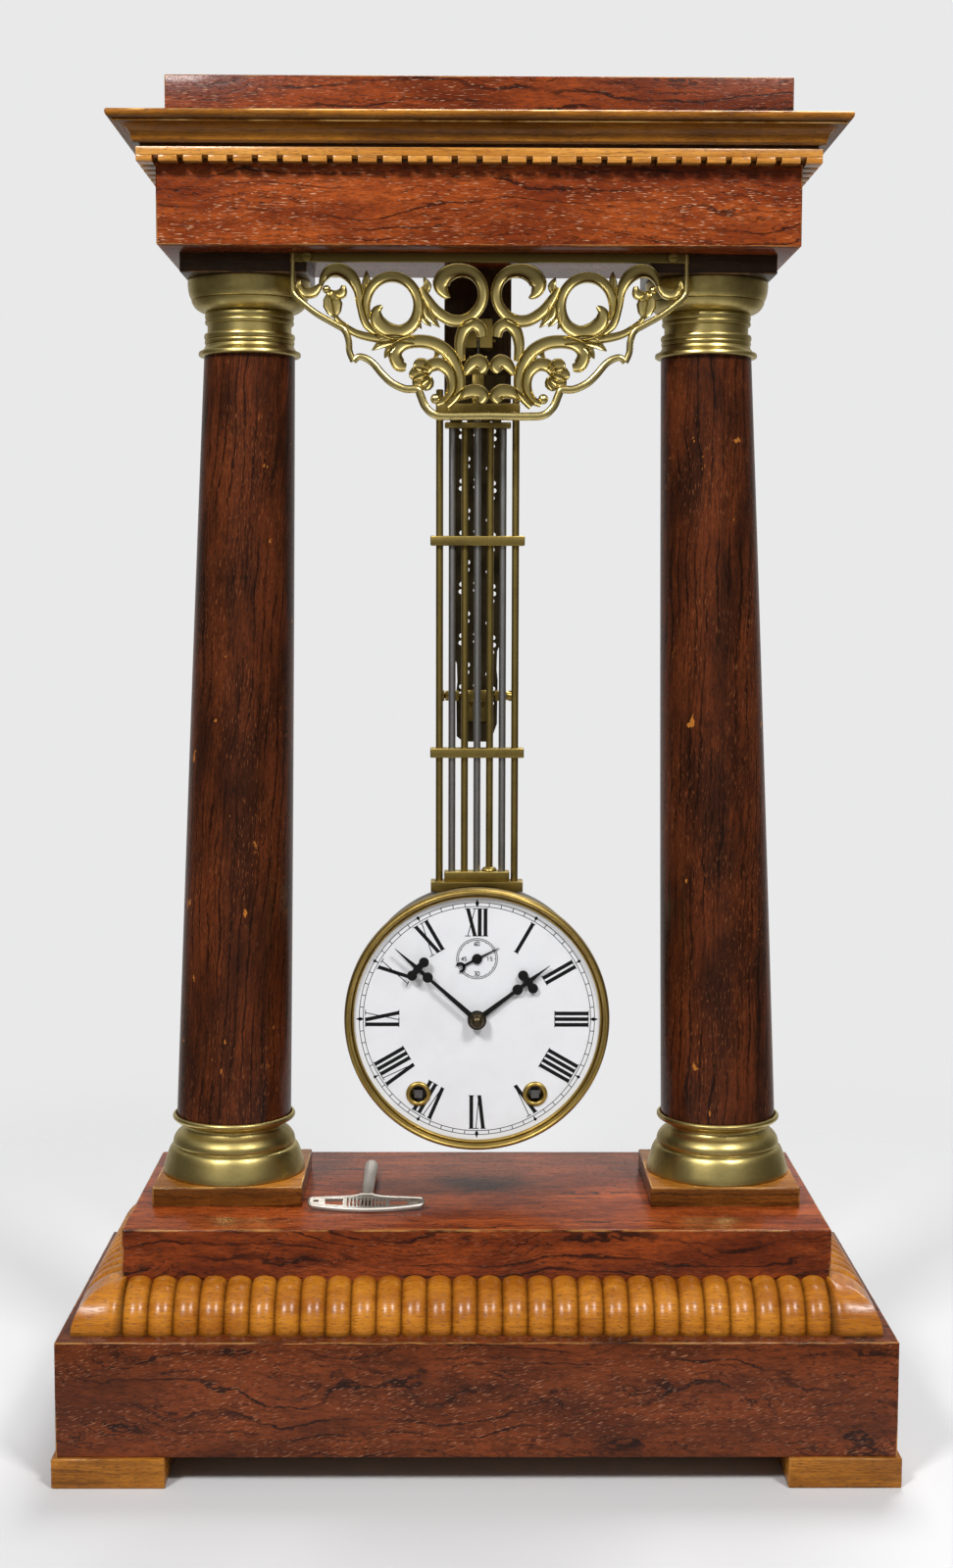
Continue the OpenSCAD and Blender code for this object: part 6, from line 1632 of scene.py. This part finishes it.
# %% The wing, its windows and its rim
WINDOW = [(9.9, 2.5), (17.4, 3.1), (17.6, 6.2), (9.9, 6.3)]
SLITS, SLIT_PITCH = 11, 1.56
HANGING_HOLE = [(-22.4, 4.4), (-20.2, 4.4), (-20.2, 5.7), (-22.4, 5.7)]
PRESSED_END = [(18.6, 3.4), (22.0, 3.9), (22.2, 6.2), (18.6, 6.7)]
WEB_INSET, WEB_LOW, WEB_DROP = 0.6, 0.4, 0.3  # the web is thinner than the rim round it
RIM = [(0.7, 0.0), (0.25, 0.12), (0.0, 0.5), (0.0, WING_T - 0.5), (0.2, WING_T - 0.15), (0.6, WING_T),
       (0.95, WING_T - 0.25), (0.95, 0.4)]
holes = [WINDOW, mirrored(WINDOW)]
holes += [[(x - 0.4, 2.0), (x + 0.4, 2.0), (x + 0.4, 6.7), (x - 0.4, 6.7)] for x in (
    SLIT_PITCH * (k - SLITS // 2) for k in range(SLITS))]
holes.append(HANGING_HOLE)
shape = Shape()
plate(shape, inset(outline, WEB_INSET), holes, raised, WEB_LOW, WING_T - WEB_DROP)
prism(shape, PRESSED_END, raised, 0.5, WING_T - 0.15, 0.1, hollow=0.9)
loft(shape, [[raised(x, d, level) for x, d in inset(outline, amount)] for amount, level in RIM], joined=True)
print("the wing has", len(shape.faces), "faces")

# %% The key's neck and tube
NECK = [(7.4, 0.8), (8.4, 1.9), (9.8, 2.7), (11.2, 3.0), (12.8, 2.6), (14.6, 2.2), (16.6, 2.3)]
TUBE_SIDES, SQUARE, BORE_DEEP = 40, 1.95, 14
SEAM_DEEP, SEAM_HALF = 0.25, 0.16  # the fold along the top of the tube; its half width is an angle
tube_r = (key_high.z - key_low.z) / 2
length = key_high.y - key_low.y


def tube_ring(depth, radius, square=0.0, seam=0.0):
    """A ring of the tube, round or square."""
    ring = []
    for i in range(TUBE_SIDES):
        a = 2 * math.pi * (i + 0.5) / TUBE_SIDES
        c, s = math.cos(a), math.sin(a)
        r = square / max(abs(c), abs(s)) if square else radius
        if abs(a - math.pi / 2) < SEAM_HALF:
            r -= seam
        ring.append(lying(r * c, depth, tube_r + r * s))
    return ring


shell = [tube_ring(d, r) for d, r in flowing(NECK, 3)]
shell += [tube_ring(d, r, seam=SEAM_DEEP) for d, r in (
    (22, 2.5), (length - 10, tube_r - 0.15), (length - 3, tube_r))]
shell += [tube_ring(length - d, tube_r - thin) for d, thin in ((1, 0.15), (0.2, 0.6), (0, 0.95))]
shell += [tube_ring(length - d, 0, SQUARE) for d in (0.2, BORE_DEEP)]
loft(shape, shell)
hang(shape, "key_pressing", "key", "key_nickel", "winding_key", sharp=40)

# %% [markdown]
# Floor, light and camera
# The object stands on a pale floor that fades into a pale background, so that no horizon cuts the
# picture. Two soft lamps above the camera, one on each side, give the shine on the reeds and the
# shadows under the cornice, a larger one behind lights the back, and the world fills in the rest. The
# world looks pale to the camera. To metal and lacquer it is a dim room with a paler ceiling, a paler
# wall at the back and some light round the camera, because brass needs something dark to mirror.

# %% The floor
FLOOR_R, FADE_START, FADE_END = 2.2, 0.22, 0.75
bm = bmesh.new()
bmesh.ops.create_circle(bm, cap_ends=True, segments=96, radius=FLOOR_R)
floor_mesh = bpy.data.meshes.new("floor")
bm.to_mesh(floor_mesh)
bm.free()
floor = bpy.data.objects.new("floor", floor_mesh)
bpy.context.scene.collection.objects.link(floor)
net, shader = new_finish("pale_floor", Base_Color=srgb(220, 220, 221), Roughness=0.7)
distance = net.node("ShaderNodeVectorMath", {0: net.place()}, operation="LENGTH").outputs["Value"]
fading = net.fade(distance, FADE_START, FADE_END)
clear = net.node("ShaderNodeBsdfTransparent")
blend = net.node("ShaderNodeMixShader", {0: fading, 1: shader.outputs[0], 2: clear.outputs[0]})
net.feed(net.tree.nodes["Material Output"].inputs["Surface"], blend.outputs[0])
floor_mesh.materials.append(FINISH["pale_floor"])
print("floor of radius", FLOOR_R, "m")

# %% The world
BACKDROP = srgb(233, 233, 234)
ROOM, FRONT = srgb(88, 84, 78), srgb(140, 137, 131)
CEILING, WALL = srgb(176, 174, 170), srgb(186, 184, 181)
FILL = 0.17
world = bpy.data.worlds.new("studio")
bpy.context.scene.world = world
world.use_nodes = True
world.node_tree.nodes.clear()
net = Net(world.node_tree)
facing = net.node("ShaderNodeTexCoord").outputs["Generated"]
towards = net.node("ShaderNodeSeparateXYZ", {0: facing}).outputs
path = net.node("ShaderNodeLightPath").outputs
seen = net.mix(net.fade(net.times(towards["Y"], -1.0), 0.7, 0.98), ROOM, FRONT)
seen = net.mix(net.fade(towards["Z"], 0.35, 0.85), seen, CEILING)
seen = net.mix(net.fade(towards["Y"], 0.35, 0.95), seen, WALL)
seen = net.mix(path["Is Camera Ray"], seen, BACKDROP)
shown = net.larger(path["Is Camera Ray"], path["Is Glossy Ray"])
shown = net.larger(shown, path["Is Transmission Ray"])
fill = net.node("ShaderNodeBackground", {"Color": (1.0, 1.0, 1.0, 1.0), "Strength": FILL})
backdrop = net.node("ShaderNodeBackground", {"Color": seen, "Strength": 1.0})
both = net.node("ShaderNodeMixShader", {0: shown, 1: fill.outputs[0], 2: backdrop.outputs[0]})
net.node("ShaderNodeOutputWorld", {"Surface": both.outputs[0]})
print("world of", len(world.node_tree.nodes), "nodes")

# %% The lamps
LAMPS = (
    # name, place and size in metres, watts
    ("left_lamp", (-0.7, -1.15, 1.35), 0.3, 18.0),
    ("right_lamp", (0.65, -1.05, 1.4), 0.3, 15.0),
    ("back_lamp", (0.25, 0.9, 1.8), 0.8, 24.0),
)
centre = (cad_box[0] + cad_box[1]) / 2
for name, spot, size, watts in LAMPS:
    light = bpy.data.lights.new(name, "AREA")
    light.size, light.energy = size, watts
    lamp = bpy.data.objects.new(name, light)
    lamp.location = spot
    lamp.rotation_euler = (centre - Vector(spot)).to_track_quat("-Z", "Y").to_euler()
    lamp.visible_camera = False
    bpy.context.scene.collection.objects.link(lamp)
print("lamps:", len(LAMPS))

# %% The camera
LENS, SENSOR = 48.57, 36.0
CAMERA_AT = Vector((-8.19, -901.33, 360.09)) * MM
PITCH, YAW, ROLL = math.radians(5.15), math.radians(0.5), math.radians(0.15)
camera_data = bpy.data.cameras.new("camera")
camera_data.sensor_fit, camera_data.sensor_width, camera_data.lens = "AUTO", SENSOR, LENS
camera = bpy.data.objects.new("camera", camera_data)
turn = (Matrix.Rotation(-YAW, 4, "Z") @ Matrix.Rotation(math.pi / 2 - PITCH, 4, "X")
        @ Matrix.Rotation(ROLL, 4, "Z"))
camera.matrix_world = Matrix.Translation(CAMERA_AT) @ turn
bpy.context.scene.collection.objects.link(camera)
bpy.context.scene.camera = camera
print("camera at", tuple(round(c, 3) for c in CAMERA_AT))
